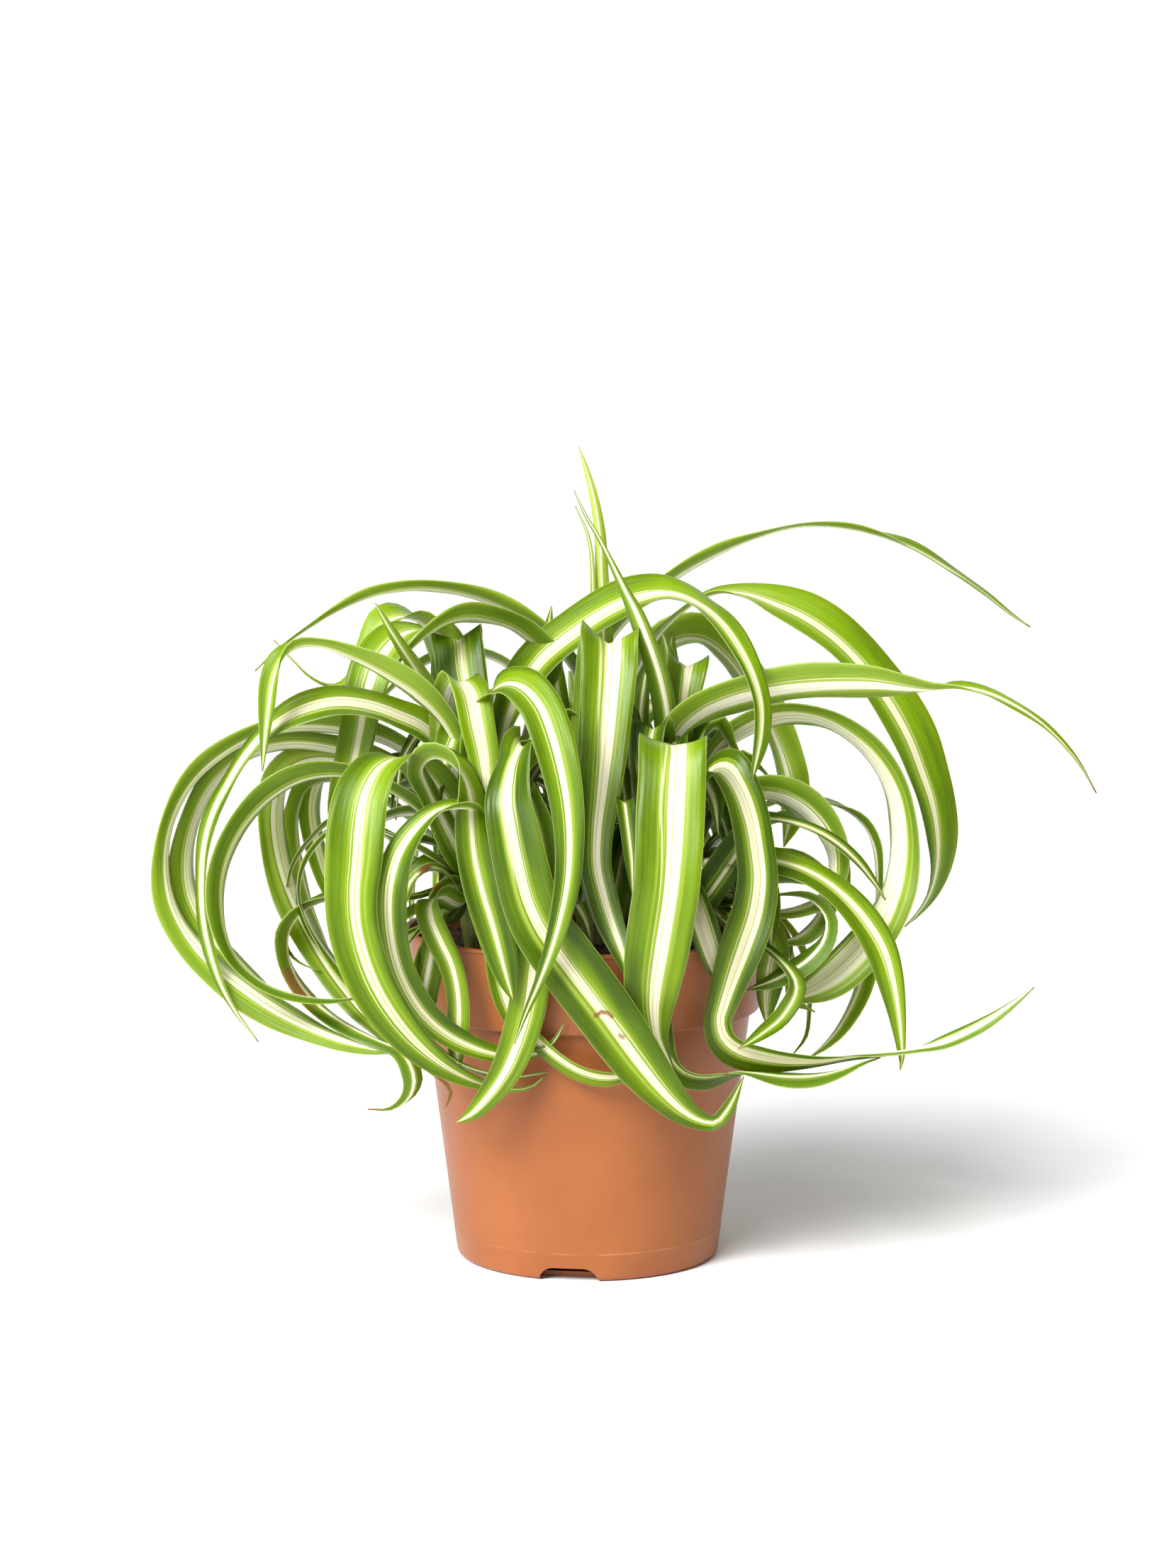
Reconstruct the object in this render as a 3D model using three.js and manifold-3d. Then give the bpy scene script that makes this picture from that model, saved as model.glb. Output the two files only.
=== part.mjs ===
// Potted curly spider plant: three tufts of channelled, arching leaves with a
// fourth tuft behind them, in a tapered nursery pot filled with peat soil.
// Millimetres, +Z up, -Y front. The origin is the centre of the pot's underside.

import * as THREE from 'three';
import { mergeVertices } from 'three/addons/utils/BufferGeometryUtils.js';
import Module from 'manifold-3d';

const wasm = await Module();
wasm.setup();

// Pot: the outer wall leans out by the same slope in body and collar.
const POT_WALL = 1.2;
const POT_FLOOR = 1.6;
const POT_BASE_RADIUS = 43.4;
const POT_CORNER = 1.8;
const WALL_SLOPE = 0.13;
const COLLAR_BOTTOM = 82.5;
const COLLAR_BOTTOM_RADIUS = 56.7;
const LIP_BOTTOM = 107.6;
const LIP_RADIUS = 60.6;
const POT_HEIGHT = 108.9;
const POT_SIDES = 56;

// Three drain channels cut up into the foot of the wall.
const CHANNEL_COUNT = 3;
const CHANNEL_FIRST_ANGLE = -98.4;
const CHANNEL_BOTTOM_WIDTH = 20;
const CHANNEL_TOP_WIDTH = 14.2;
const CHANNEL_HEIGHT = 4.3;
const CHANNEL_DEPTH = 7;
const ROOF_SINK = 0.6;

// Soil: fills the pot up to a few millimetres under the rim.
const FIT_GAP = 0.3;
const SOIL_TOP = 101.5;
const SOIL_EDGE_RISE = 1.5;
const SOIL_SIDES = 28;

// Crowns: the leaf bases grown together, each standing in a plain hole in the soil.
const CROWN_RADIUS = 11.5;
const CROWN_FOOT = 90.3;
const CROWN_SHOULDER = 118;
const CROWN_TOP = 129;
const CROWN_SIDES = 14;
const CROWNS = {
  left: [-34, -7],
  right: [28, -8],
  centre: [1, 13],
  rear: [2, 38.5],
};

// Blades: thin in section, three points across each face.
const EDGE_THICKNESS = 0.7;
const MID_THICKNESS = 1.0;
const ROOT_LOW = 113;
const ROOT_HIGH = 125;
const ROOT_SPREAD = 6;
const ROOT_WIDTH = 6;
const SEGMENT_LENGTH = 19;
const FEWEST_SEGMENTS = 6;
const MOST_SEGMENTS = 22;

// The leaves are set out as they are seen from a point in front of the plant.
const EYE = new THREE.Vector3(0.117, -1133.65, 285.2);

// One row a leaf: name, crown, half angle of the channelled section in degrees, then
// stations [x, z, toward, width, turn]. x and z are where the station is seen on the
// upright plane through the pot's axis, toward is how far it lies in front of that
// plane, width is across the flattened blade. turn is the angle in degrees from the
// line of sight to the upper face: 0 shows the upper face, 180 the underside.
const LEAVES = [
  ['outer_ring', 'left', 42, [[-44, 150, 4, 12, 108], [-62, 168.8, 4, 15, 113], [-84, 174.9, 4, 15, 115],
    [-103.8, 173.9, 4, 15, 112], [-118.8, 167.1, 5, 15, 109], [-130.6, 156.6, 6, 14, 108],
    [-138.1, 141.9, 8, 14, 109], [-139.7, 126, 10, 14, 114], [-136.3, 111.8, 14, 15, 122],
    [-127.6, 99, 18, 16, 131], [-114.3, 87.7, 22, 16, 136], [-99.3, 78, 26, 14, 138],
    [-84, 70.9, 30, 10, 133], [-72, 67.4, 32, 5.5, 125], [-62, 66.2, 34, 1, 115]]],
  ['second_ring', 'left', 42, [[-46, 146, -2, 12, 100], [-64, 161, -4, 14, 112], [-84, 168, -4, 15, 118],
    [-99.5, 169.3, -3, 15, 116], [-112.4, 165.6, -2, 15, 114], [-123.4, 156.4, -2, 15.5, 114],
    [-129.7, 144.5, -1, 16, 116], [-132.6, 131, 0, 16.5, 118], [-131.2, 118.3, 2, 16.5, 120],
    [-125, 106.6, 5, 16, 123], [-117.6, 97.8, 8, 14, 126], [-108.7, 88.8, 11, 11, 125],
    [-99.8, 80.6, 14, 8, 122], [-91.5, 75.8, 16, 2, 118]]],
  ['long_tail_arch', 'left', 22, [[-41, 152, 18, 13, 80], [-52, 173, 22, 16, 58],
    [-62.6, 178.7, 24, 17, 55], [-72, 181.9, 25, 17, 55], [-82, 182.9, 26, 17, 55],
    [-92, 180.8, 26, 16.5, 55], [-100, 177, 26, 15, 60], [-107, 171.5, 25, 13, 62],
    [-113, 164.3, 25, 11, 62], [-118, 156, 24, 9.5, 62], [-123, 146.5, 23, 8.5, 60],
    [-126, 136.5, 22, 8, 58], [-127.2, 124, 22, 7.8, 56], [-126.7, 111, 24, 7, 54],
    [-124.3, 99, 26, 5.5, 52], [-120.8, 88.5, 28, 4, 52], [-116, 79.5, 28, 2.8, 52],
    [-109, 69.9, 28, 0.8, 52]]],
  ['dark_ring', 'left', 38, [[-46, 138, 24, 11, 95], [-62, 153, 30, 13, 102], [-78, 159.4, 33, 15, 108],
    [-92, 159, 36, 16, 110], [-103, 153.8, 37, 17, 111], [-111.5, 145.8, 37, 18, 113],
    [-117.5, 136.3, 37, 18, 114], [-121, 126, 37, 16, 112], [-121.8, 115, 37, 15, 108],
    [-120, 104, 37, 14, 104], [-115.5, 95.5, 36, 13, 102], [-107.5, 88.8, 36, 11, 100],
    [-98, 85.2, 35, 9, 98], [-88, 83.7, 34, 7, 96], [-80, 83.9, 32, 4.5, 94], [-73, 85.5, 30, 1, 92]]],
  ['inner_ring', 'left', 34, [[-48, 140, -12, 12, 98], [-66, 156.5, -14, 15, 105],
    [-83.5, 164.3, -14, 17, 110], [-95, 162.6, -13, 18, 115], [-101, 156.3, -12, 18.5, 118],
    [-103, 147, -10, 18.5, 120], [-102.6, 137, -8, 18.5, 121], [-100.7, 127.3, -5, 18, 121],
    [-97.4, 117.5, -2, 17.5, 122], [-93, 107.8, 3, 17, 124], [-87.7, 98, 8, 16.5, 126],
    [-81.8, 89, 14, 14.5, 126], [-75.2, 80.4, 20, 11.5, 124], [-68.4, 73, 25, 7.5, 122],
    [-62.5, 66.5, 29, 2, 118]]],
  ['far_drop', 'left', 25, [[-44, 140, -24, 10, 95], [-62, 158, -30, 12, 100], [-80, 163, -32, 12, 110],
    [-88.5, 158, -32, 12, 118], [-91, 149, -32, 12, 125], [-90, 139, -31, 12, 130],
    [-87.5, 129, -28, 11, 130], [-84.5, 120, -24, 9, 130], [-82, 112, -20, 3, 130]]],
  ['near_drop', 'left', 30, [[-48, 136, -18, 10, 95], [-66, 150, -22, 12, 95], [-82, 157.5, -24, 12, 95],
    [-92, 156.5, -24, 12, 105], [-96.3, 147, -23, 11, 115], [-96.6, 136.5, -21, 11, 118],
    [-95, 126, -18, 10, 118], [-92, 115, -14, 9, 118], [-88, 105, -10, 7, 118], [-84, 96, -6, 2, 118]]],
  ['thin_curl', 'left', 32, [[-54, 134, 30, 8, 90], [-70, 141.5, 30, 8, 88], [-82, 141.8, 28, 7, 85],
    [-90, 135.3, 26, 7, 85], [-94.5, 127, 25, 7, 85], [-95.6, 118, 25, 7, 85], [-93, 109.5, 26, 7, 90],
    [-88, 101.5, 28, 7, 95], [-82, 93.5, 30, 7, 100], [-76, 85.5, 32, 6, 100], [-69, 76, 34, 5, 100],
    [-62, 68, 36, 1.5, 100]]],
  ['tendril', 'left', 30, [[-60, 119, 4, 6, 90], [-76, 121.5, 8, 6, 90], [-88, 118.6, 10, 5, 90],
    [-95.3, 114.5, 11, 4.5, 90], [-99.4, 108.5, 12, 3.5, 90], [-99.6, 102.5, 13, 3, 90],
    [-96.8, 97.8, 14, 2.2, 90], [-92.3, 95, 15, 1.5, 90], [-88, 93.5, 16, 0.8, 90]]],
  ['hooked_tail', 'left', 30, [[-60, 118, 16, 8, 90], [-80, 119, 20, 10, 92], [-93, 115.5, 20, 12, 97],
    [-99.5, 108, 19, 12, 100], [-100, 99.5, 19, 12, 104], [-97, 91, 20, 12, 112], [-92, 84, 22, 12, 118],
    [-85, 78, 24, 11, 118], [-77, 73.3, 27, 9, 118], [-69, 69.6, 31, 6, 118], [-63, 66.9, 33, 5, 128],
    [-59.3, 62.5, 34, 8, 150], [-57.7, 57, 34, 8, 165], [-59.5, 51.5, 33, 5, 140],
    [-65, 47.5, 32, 4, 100], [-73, 47.3, 31, 0.8, 80]]],
  ['back_left', 'left', 28, [[-56, 130, -4, 8, 90], [-72, 143, -4, 8, 92], [-83, 144.5, -4, 7.5, 95],
    [-91, 138, -3, 7, 100], [-97, 129, -2, 6, 100], [-99.5, 120, -1, 1.5, 100]]],
  ['shoulder_fall', 'left', 18, [[-38, 160, -6, 13, 170], [-42, 190, -8, 16, 150],
    [-50, 206.5, -4, 17, 110], [-61, 206, 2, 17, 60], [-69, 197, 8, 16, 30], [-73, 186, 12, 14, 15],
    [-75, 175, 14, 12.5, 8], [-77, 165, 15, 12, 5], [-79.5, 155, 16, 11, 5], [-82, 146, 17, 8, 5],
    [-84, 138, 18, 3, 5]]],
  ['high_curl', 'left', 18, [[-36, 165, -28, 13, 170], [-46, 198, -28, 15, 140], [-56, 211, -24, 15, 100],
    [-65, 210.5, -20, 14, 50], [-71, 201, -16, 11, 30], [-75.5, 192.5, -12, 7, 60],
    [-82, 187.8, -10, 4, 90], [-90, 190.5, -9, 3.2, 90], [-97, 197.3, -9, 2.2, 90],
    [-102.5, 203.2, -9, 0.8, 90]]],
  ['drop_tip_arch', 'left', 34, [[-38, 155, 24, 13, 90], [-46, 176, 30, 17, 110],
    [-55, 185.5, 32, 18, 115], [-66, 193, 33, 18, 112], [-77, 198.6, 34, 16, 108],
    [-87, 202, 34, 13, 103], [-95.5, 202, 34, 10, 95], [-101, 197.5, 34, 9, 60],
    [-103.8, 189.5, 34, 8, 35], [-105, 180.5, 34, 6.5, 30], [-105.9, 171.5, 34, 4, 30],
    [-106.7, 160, 34, 0.8, 30]]],
  ['broad_fold', 'left', 14, [[-42, 165, -14, 16, 180], [-43, 191, -14, 17, 178], [-43, 204, -9, 17, 160],
    [-42.5, 204.5, 0, 17, 15], [-41.5, 195, 7, 17, 5], [-40, 185, 12, 16, 0], [-38.5, 172, 16, 14, 0],
    [-37, 159, 18, 10, 0], [-35.5, 147, 18, 3, 0]]],
  ['left_spear', 'left', 38, [[-40, 155, 6, 7, 180], [-48, 180, 16, 7, 175], [-54.5, 191.5, 22, 6, 175],
    [-60.5, 200.5, 27, 4.5, 175], [-65.5, 208.5, 31, 3, 175], [-69.3, 215.3, 34, 0.8, 175]]],
  ['wide_front_fall', 'left', 14, [[-42, 140, 28, 14, 160], [-52, 158, 42, 17, 140],
    [-61, 165.5, 52, 18, 100], [-69, 162, 60, 18, 45], [-74, 152.5, 66, 19, 20], [-76, 142, 70, 19.5, 8],
    [-77, 131, 73, 19.5, 3], [-78, 120, 75, 17.5, 0], [-77.5, 109, 76, 17, 0], [-75, 98.5, 76, 16.5, 0],
    [-70.8, 88, 75, 15.5, 0], [-65, 78.5, 73, 14, 0], [-58, 70, 70, 11.5, 0], [-50, 63, 66, 8.5, 0],
    [-42, 58.3, 60, 5.5, 0], [-33, 55, 53, 3.5, 20], [-24, 53.8, 51, 2.5, 50], [-18.5, 55, 51, 2, 50],
    [-14, 58.8, 52, 0.8, 50]]],
  ['over_arch', 'left', 24, [[-44, 136, 34, 11, -150], [-53, 154, 46, 10, -130],
    [-55.5, 161.5, 52, 10, -110], [-50, 166.2, 58, 14, -100], [-42.5, 163, 62, 16, -85],
    [-38.3, 153, 64, 14, -50], [-38, 143, 65, 13, -25], [-37, 132, 66, 13, -10],
    [-34.5, 120.5, 67, 13, 0], [-31.3, 109.5, 67, 13, 0], [-28.4, 98.5, 67, 11, 0], [-26, 89, 66, 6.5, 0],
    [-24.5, 83.5, 66, 1.5, 0]]],
  ['sweep_under', 'left', 22, [[-33, 132, 42, 9, 140], [-35.5, 145.5, 58, 8, 110],
    [-41, 149.2, 68, 8, 95], [-49, 147.5, 70, 9.5, 75], [-56, 141.5, 71, 11, 50],
    [-61.5, 133, 71, 12, 30], [-64.3, 123.5, 71, 11.5, 12], [-65, 114, 70, 11, 3],
    [-64.3, 104.5, 69, 10.5, 0], [-62.3, 95.5, 67, 10, -5], [-58.5, 86.5, 65, 9.8, -5],
    [-53, 78.5, 63, 9.5, 0], [-45.5, 72.2, 60, 8.5, 0], [-37, 68, 57, 7, 0], [-29, 65.8, 54.5, 5.5, 0],
    [-21.5, 65.3, 54.5, 4, 10], [-15.5, 66.8, 56.5, 2.8, 20], [-11, 70.5, 58, 1.8, 30],
    [-7.6, 76.8, 58.5, 0.8, 30]]],
  ['front_hook', 'left', 22, [[-43, 116, 36, 9, 140], [-49, 119, 48, 9, 110], [-52.5, 116.5, 55, 9, 40],
    [-51.8, 110.5, 57, 9, 10], [-48.8, 103.5, 58, 9, 5], [-45.3, 96, 58, 8, 0], [-43.2, 87, 58, 7.5, 0],
    [-42.8, 78, 57, 8, 0], [-43.3, 69, 56, 7.5, 0], [-43.2, 63.5, 55, 4, 0], [-42.4, 60, 54, 0.8, 0]]],
  ['cream_back', 'left', 16, [[-44, 114, 30, 8, 170], [-49, 112, 44, 9, 150], [-50.5, 103, 50, 9, 170],
    [-52, 95, 52, 9, 180], [-53.8, 86, 52, 9, 180], [-54.5, 77, 51, 7.5, 180], [-54, 69.5, 50, 3, 180]]],
  ['small_arch', 'left', 26, [[-41, 121, 20, 8, 120], [-46, 123, 26, 9, 100], [-50.5, 119.5, 30, 8, 95],
    [-52.5, 113, 32, 5, 95], [-52, 107, 33, 1, 95]]],
  ['rim_leaf', 'left', 26, [[-46, 114, 14, 9, 95], [-55, 114.5, 20, 10, 100], [-61, 111, 24, 9, 110],
    [-65, 104, 26, 2, 110]]],
  ['rim_tip', 'left', 24, [[-48, 111, 24, 6, 100], [-55, 107.5, 34, 6, 105], [-60, 102, 39, 1.5, 105]]],
  ['low_sweep', 'left', 28, [[-48, 108, 40, 7, 110], [-56, 98, 50, 7, 95], [-58.5, 86, 54, 7, 80],
    [-56, 76, 55, 7, 70], [-50, 68.3, 55, 6.5, 70], [-42, 62.5, 54, 5.5, 72], [-33, 59.3, 53, 5, 75],
    [-25, 58, 53, 4, 75], [-18.5, 58.9, 53.5, 2.5, 75], [-13, 59.8, 54, 0.8, 75]]],
  ['dry_tip', 'left', 26, [[-52, 110, 30, 5, 100], [-64, 102, 38, 5, 100], [-70, 88, 42, 4.5, 100],
    [-66, 74, 44, 4, 90], [-59, 65, 45, 3.2, 90], [-52, 59.5, 46, 2.6, 80], [-47, 56, 46, 2, 60],
    [-45.3, 53.5, 46, 1.6, 20], [-45.9, 50.5, 46, 1.4, 0], [-47.2, 47.8, 46, 0.8, 0]]],
  ['cross_fall', 'left', 20, [[-32, 135, 34, 12, 180], [-25, 148, 47, 13, 175],
    [-20.5, 150.5, 57, 13, 20], [-17.5, 142, 61, 12.5, 0], [-15.3, 130, 62, 12.5, 0],
    [-15.5, 116, 63, 12.5, 0], [-17.3, 103, 63, 13, 0], [-18.7, 92, 63, 13, 0], [-20, 81.5, 62, 13, 0],
    [-22.8, 71, 61, 12.3, 0], [-27, 60.5, 60, 10.5, 0], [-33, 51.5, 59, 8, 0], [-39, 45.3, 58, 5, 0],
    [-43.8, 42.7, 58, 1.5, 0]]],
  ['peak_fold', 'left', 22, [[-42, 148, 18, 12, 180], [-45.6, 170, 22, 12.5, 180],
    [-45.2, 184, 30, 12.5, -175], [-42.2, 190.8, 38, 12.5, -110], [-38.6, 186.5, 45, 13, -25],
    [-36, 174.5, 50, 12, -8], [-34, 164, 52, 10.5, -5], [-33.3, 155, 53, 7, 0],
    [-33.8, 147.5, 53, 2.5, 0]]],
  ['long_front', 'left', 20, [[-37, 150, 26, 13, -150], [-36, 175, 36, 14, -130],
    [-31, 187.5, 44, 13, -80], [-22.5, 188.8, 54, 15, -45], [-15.8, 182, 61, 15, -20],
    [-11.8, 172, 66, 14.5, -8], [-8.8, 160.5, 69, 13, 0], [-6.8, 149, 71, 11.5, 0], [-6, 137, 73, 10, 0],
    [-6.5, 125, 74, 9, 0], [-8.7, 113, 75, 7.5, 0], [-12, 101, 76, 5.5, 0], [-16, 90, 76, 3.6, 0],
    [-20.5, 79.5, 75, 2, 0], [-24.3, 69, 74, 0.8, 0]]],
  ['great_front', 'left', 18, [[-32, 142, 30, 13, 160], [-25.5, 160, 38, 14, 140],
    [-20.5, 169, 46, 14, 110], [-22.5, 168.5, 55, 14, 65], [-25, 160, 62, 15, 40],
    [-25.8, 150, 67, 16.5, 20], [-24.2, 140, 69, 18, 10], [-22, 129, 70, 18.5, 5], [-19, 117, 71, 19, 3],
    [-14.6, 107.5, 71, 20, 0], [-8.6, 99, 70, 20.8, 0], [-2, 90, 69, 20.8, 0], [4.7, 81, 68, 20.4, 0],
    [11.2, 71.7, 67, 19.6, 0], [17.8, 62.3, 66, 17.5, 0], [25, 53.3, 65, 13.5, 0], [32, 46.5, 63, 9.5, 0],
    [38, 43.2, 61, 5.5, 10], [42.5, 42.9, 60.5, 5, 15], [46.5, 47.5, 61, 5.3, 20],
    [51.7, 58.3, 61, 0.8, 30]]],
  ['pot_sweep', 'left', 36, [[-33, 125, 34, 9, 180], [-32.5, 127, 46, 9, 20], [-31.5, 115, 54, 9, 0],
    [-30, 100, 58, 9, 0], [-28.3, 88, 58, 8.5, 5], [-24.5, 78, 57.5, 7.5, 25],
    [-17.5, 70.8, 57.5, 7.5, 34], [-10, 64.3, 58, 7.5, 42], [-2, 59.5, 58, 7.5, 44],
    [6, 57.7, 58, 7.2, 44], [13, 58.6, 58, 5, 52], [20, 61.5, 57, 1, 70]]],
  ['top_arch', 'left', 20, [[-31, 152, -4, 15, -90], [-26, 180, -6, 18, -60], [-17, 196, -7, 19, -48],
    [-5, 206.3, -7, 19, -45], [8, 214.6, -5, 19, -48], [19, 218.4, 1, 17.5, -52], [29, 218.6, 9, 14, -60],
    [37.5, 214.8, 17, 10, -60], [44.3, 209, 25, 9, -45], [50, 201, 33, 8.5, -35],
    [54.8, 191, 39, 7.6, -30], [57.2, 181.5, 43, 7, -30], [57, 171.5, 45, 6.2, -30],
    [55.4, 163.5, 46, 4, -30], [54, 157.8, 46, 0.8, -30]]],
  ['widest_front', 'right', 12, [[28, 145, 22, 18, 180], [28, 162, 34, 22, 180],
    [28, 169.5, 46, 22.5, 170], [28, 168, 56, 22.5, 10], [27.7, 158, 63, 22.5, 3], [27.2, 146, 67, 23, 0],
    [26.8, 134, 70, 22.5, 0], [26, 122, 72, 22, 0], [24.3, 110, 72, 22, 0], [22.6, 99, 70, 21.5, 0],
    [21.2, 88, 65, 18.5, 0], [21, 79, 60, 14.5, 0], [22.5, 71, 57.5, 9, 0], [25.5, 65.5, 56.5, 4.5, 0],
    [28.2, 61.3, 56, 1, 0]]],
  ['right_front', 'right', 24, [[34, 140, 20, 13, -110], [38.5, 158, 30, 14, -75],
    [44.5, 161.5, 38, 15, -50], [49.5, 155, 43, 15, -35], [53, 145.5, 46, 14, -22],
    [55, 135, 48, 13.5, -12], [56, 124, 49, 13.8, -5], [54.5, 113, 50, 15, 0], [51.3, 103, 52, 15.5, 0],
    [47.8, 93, 53, 13.5, 5], [44.8, 83.5, 53, 10.5, 5], [43.2, 77, 52, 9, 15], [44.8, 71, 51, 11, 30],
    [49.5, 67, 50, 13.5, 40], [57, 64.7, 49, 14, 50], [66, 63.3, 48, 12.5, 58], [76, 63.1, 47, 9, 66],
    [88, 64.8, 46, 5, 75], [97, 65.7, 46, 2.5, 85], [106, 66.8, 47, 3.5, 105], [118, 69.8, 49, 8, 130],
    [130, 75.5, 51, 7.5, 130], [140, 82.3, 53, 4, 130], [147.6, 88.3, 54, 0.8, 130]]],
  ['under_curl', 'right', 30, [[30, 125, 32, 8, 180], [29, 128, 46, 8, 20], [27.5, 116, 56, 8, 0],
    [25.5, 100, 60, 8, 0], [24, 86, 57, 8, 0], [24.4, 74, 53.5, 8, 10], [27.2, 63.6, 54, 8.5, 35],
    [31.6, 58.9, 55, 9, 48], [37.4, 57.2, 55, 9, 52], [43.2, 57.8, 54, 9, 62], [49.1, 58.9, 52, 9.5, 88],
    [56, 58.6, 50, 11.5, 108], [65, 57.6, 49, 12.5, 114], [75, 57.8, 48, 12, 112], [84, 59.8, 47, 8, 106],
    [91, 62.6, 46, 4, 100], [97, 64.6, 45, 0.8, 100]]],
  ['level_reach', 'right', 28, [[25.5, 145, 6, 12, -120], [25.5, 165, 10, 13, -125],
    [30, 174, 14, 15, -128], [38, 180.3, 18, 17.5, -130], [48, 184.3, 22, 18, -131],
    [60, 187.2, 25, 18, -131], [72, 188.8, 28, 18, -132], [84, 189.4, 30, 17.5, -132],
    [95, 189.2, 32, 16, -132], [104, 188.1, 34, 12.5, -125], [112.5, 187.4, 35, 8.5, -105],
    [121, 188.1, 36, 8, -75], [130.5, 186.2, 37, 7.5, -65], [139, 182.4, 38, 6.5, -62],
    [148, 176.6, 38, 4.8, -62], [156, 169, 38, 3, -62], [162, 161.5, 38, 1.8, -62],
    [167.1, 152.8, 38, 0.8, -62]]],
  ['right_ring', 'right', 30, [[33, 142, -2, 14, -105], [41, 165, -2, 15, -112], [52, 174, 0, 16, -118],
    [64, 178.3, 3, 16, -118], [76, 177.5, 6, 15, -115], [86.5, 172, 9, 17, -112],
    [95, 163.5, 11, 19, -112], [101, 152.5, 13, 20, -115], [103.2, 140, 15, 21, -118],
    [102.6, 128, 17, 21, -120], [99.5, 116.5, 20, 21, -125], [94, 106, 22, 20, -135],
    [87, 97.5, 24, 19, -142], [79.5, 91, 26, 17, -145], [72, 86.5, 28, 11, -145],
    [66, 83.5, 30, 2, -145]]],
  ['light_fall', 'right', 20, [[38, 121, 18, 12, -55], [47, 128, 24, 12, -50], [57, 130.5, 30, 12, -50],
    [67, 128.8, 35, 12, -48], [76, 124.7, 38, 12, -42], [84.5, 118, 40, 12.5, -35],
    [91.3, 110, 42, 12, -28], [96.7, 101, 43, 11.2, -20], [99.9, 91, 44, 9.8, -15],
    [102, 81, 44, 6.8, -10], [103.4, 71, 44, 4, -8], [104, 64, 44, 2, -8], [103.6, 60.4, 44, 0.8, -8]]],
  ['turned_ring', 'right', 30, [[38, 140, 8, 12, -105], [50, 152, 12, 15, -112],
    [60, 153.5, 15, 18, -120], [69, 150, 17, 20, -122], [77, 142.5, 19, 19, -120],
    [81.5, 133, 21, 17, -118], [81.2, 124, 23, 14.5, -116], [77, 117.5, 25, 12, -114],
    [70.5, 114.4, 26, 10, -112], [64, 113.2, 26, 8, -110], [56, 113.5, 26, 6, -108],
    [48, 115, 26, 2, -105]]],
  ['thin_reach', 'right', 26, [[40, 136, 8, 8, -80], [52, 143.5, 16, 8, -75], [62, 144.3, 24, 8, -70],
    [72, 142, 30, 8, -65], [81, 137.3, 34, 7.5, -62], [89, 130.2, 36, 6, -60], [94.5, 123, 37, 4, -60],
    [98.2, 117.3, 38, 0.8, -60]]],
  ['back_hook', 'right', 26, [[46, 140, -12, 9, -95], [60, 149.5, -14, 10, -90],
    [72, 151.2, -14, 10, -85], [82, 149.3, -14, 10, -80], [90, 144.2, -13, 10, -95],
    [94.5, 136, -12, 9, -110], [95.8, 126, -10, 8, -110], [95.5, 116, -8, 6, -110],
    [93.5, 108, -6, 1.5, -110]]],
  ['low_hook', 'right', 26, [[48, 120, -6, 8, -95], [66, 124, -4, 9, -100], [82, 119.5, 0, 10, -105],
    [90.5, 109, 4, 10.5, -112], [92.3, 98, 7, 11, -118], [90.8, 88.5, 10, 11, -122],
    [87.3, 80, 13, 10.5, -122], [82.5, 72.5, 15, 8, -120], [78, 68, 17, 4.5, -118],
    [73.3, 64.5, 18, 0.8, -118]]],
  ['return_leaf', 'right', 22, [[46, 116, 22, 7, -70], [62, 119.5, 30, 7, -85], [74, 118, 34, 7, -95],
    [79.5, 111.5, 36, 7, -110], [78.3, 103.5, 37, 9, -130], [73, 97.3, 38, 10, -140],
    [66.5, 93, 40, 9, -145], [60, 89.8, 42, 6, -145], [52.5, 87.3, 43, 0.8, -145]]],
  ['rim_drop', 'right', 16, [[46, 113, 26, 8, -60], [57, 109.5, 34, 10, -40], [61.5, 101, 37, 10, -20],
    [60.5, 92, 38, 10, 0], [59.5, 84, 38, 8, 10], [59.3, 75.3, 38, 0.8, 10]]],
  ['short_curl', 'right', 24, [[49, 117, 12, 7, -80], [61, 112.5, 16, 8, -90], [67, 103, 19, 9, -100],
    [67.5, 92, 21, 8, -60], [69.5, 84, 23, 5, 40], [75.3, 79.9, 26, 0.8, 90]]],
  ['thin_hook', 'right', 24, [[49, 117, 2, 6, -95], [61, 113.5, 5, 7, -100], [69, 104, 7, 6.5, -105],
    [73, 92, 9, 6, -105], [73.2, 80, 10, 5.5, -105], [72, 71.5, 11, 4, -105],
    [67.8, 65.4, 12, 0.8, -105]]],
  ['slant_leaf', 'right', 20, [[48, 108, 34, 6, -70], [62, 99, 44, 7, -60], [69, 89, 49, 7, -30],
    [64.5, 79, 51, 6.5, -10], [57, 72.5, 56, 5, -10], [50, 67.5, 60, 1, -10]]],
  ['cross_spear', 'right', 38, [[26.8, 145, 12, 9, 178], [26.3, 168, 14, 9, 178], [25, 182, 16, 8.5, 178],
    [22.5, 193, 18, 8, 178], [19.5, 202, 20, 7, 178], [15.8, 211.5, 20, 6, 178],
    [12, 219.5, 20, 3.5, 178], [7.8, 228.3, 19, 2.2, 178], [3.5, 236.8, 18, 1.6, 178],
    [-0.5, 243.5, 17, 1.2, 178], [-4.4, 251.8, 16, 0.8, 178]]],
  ['heart_leaf_1', 'right', 30, [[28.5, 150, -2, 9, 180], [28, 178, -4, 9, 180], [27, 190, -3, 8.5, 180],
    [26, 199, -1, 5, 180], [24.4, 205.8, 2, 0.8, 180]]],
  ['heart_leaf_2', 'right', 24, [[30, 150, 4, 8, 0], [29.6, 172, 6, 9.5, 0], [31, 186, 6, 13, 0],
    [32.4, 195.6, 2, 14.5, 8], [32.6, 195.4, -6, 14, 172], [32.2, 186, -12, 11, 180],
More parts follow.
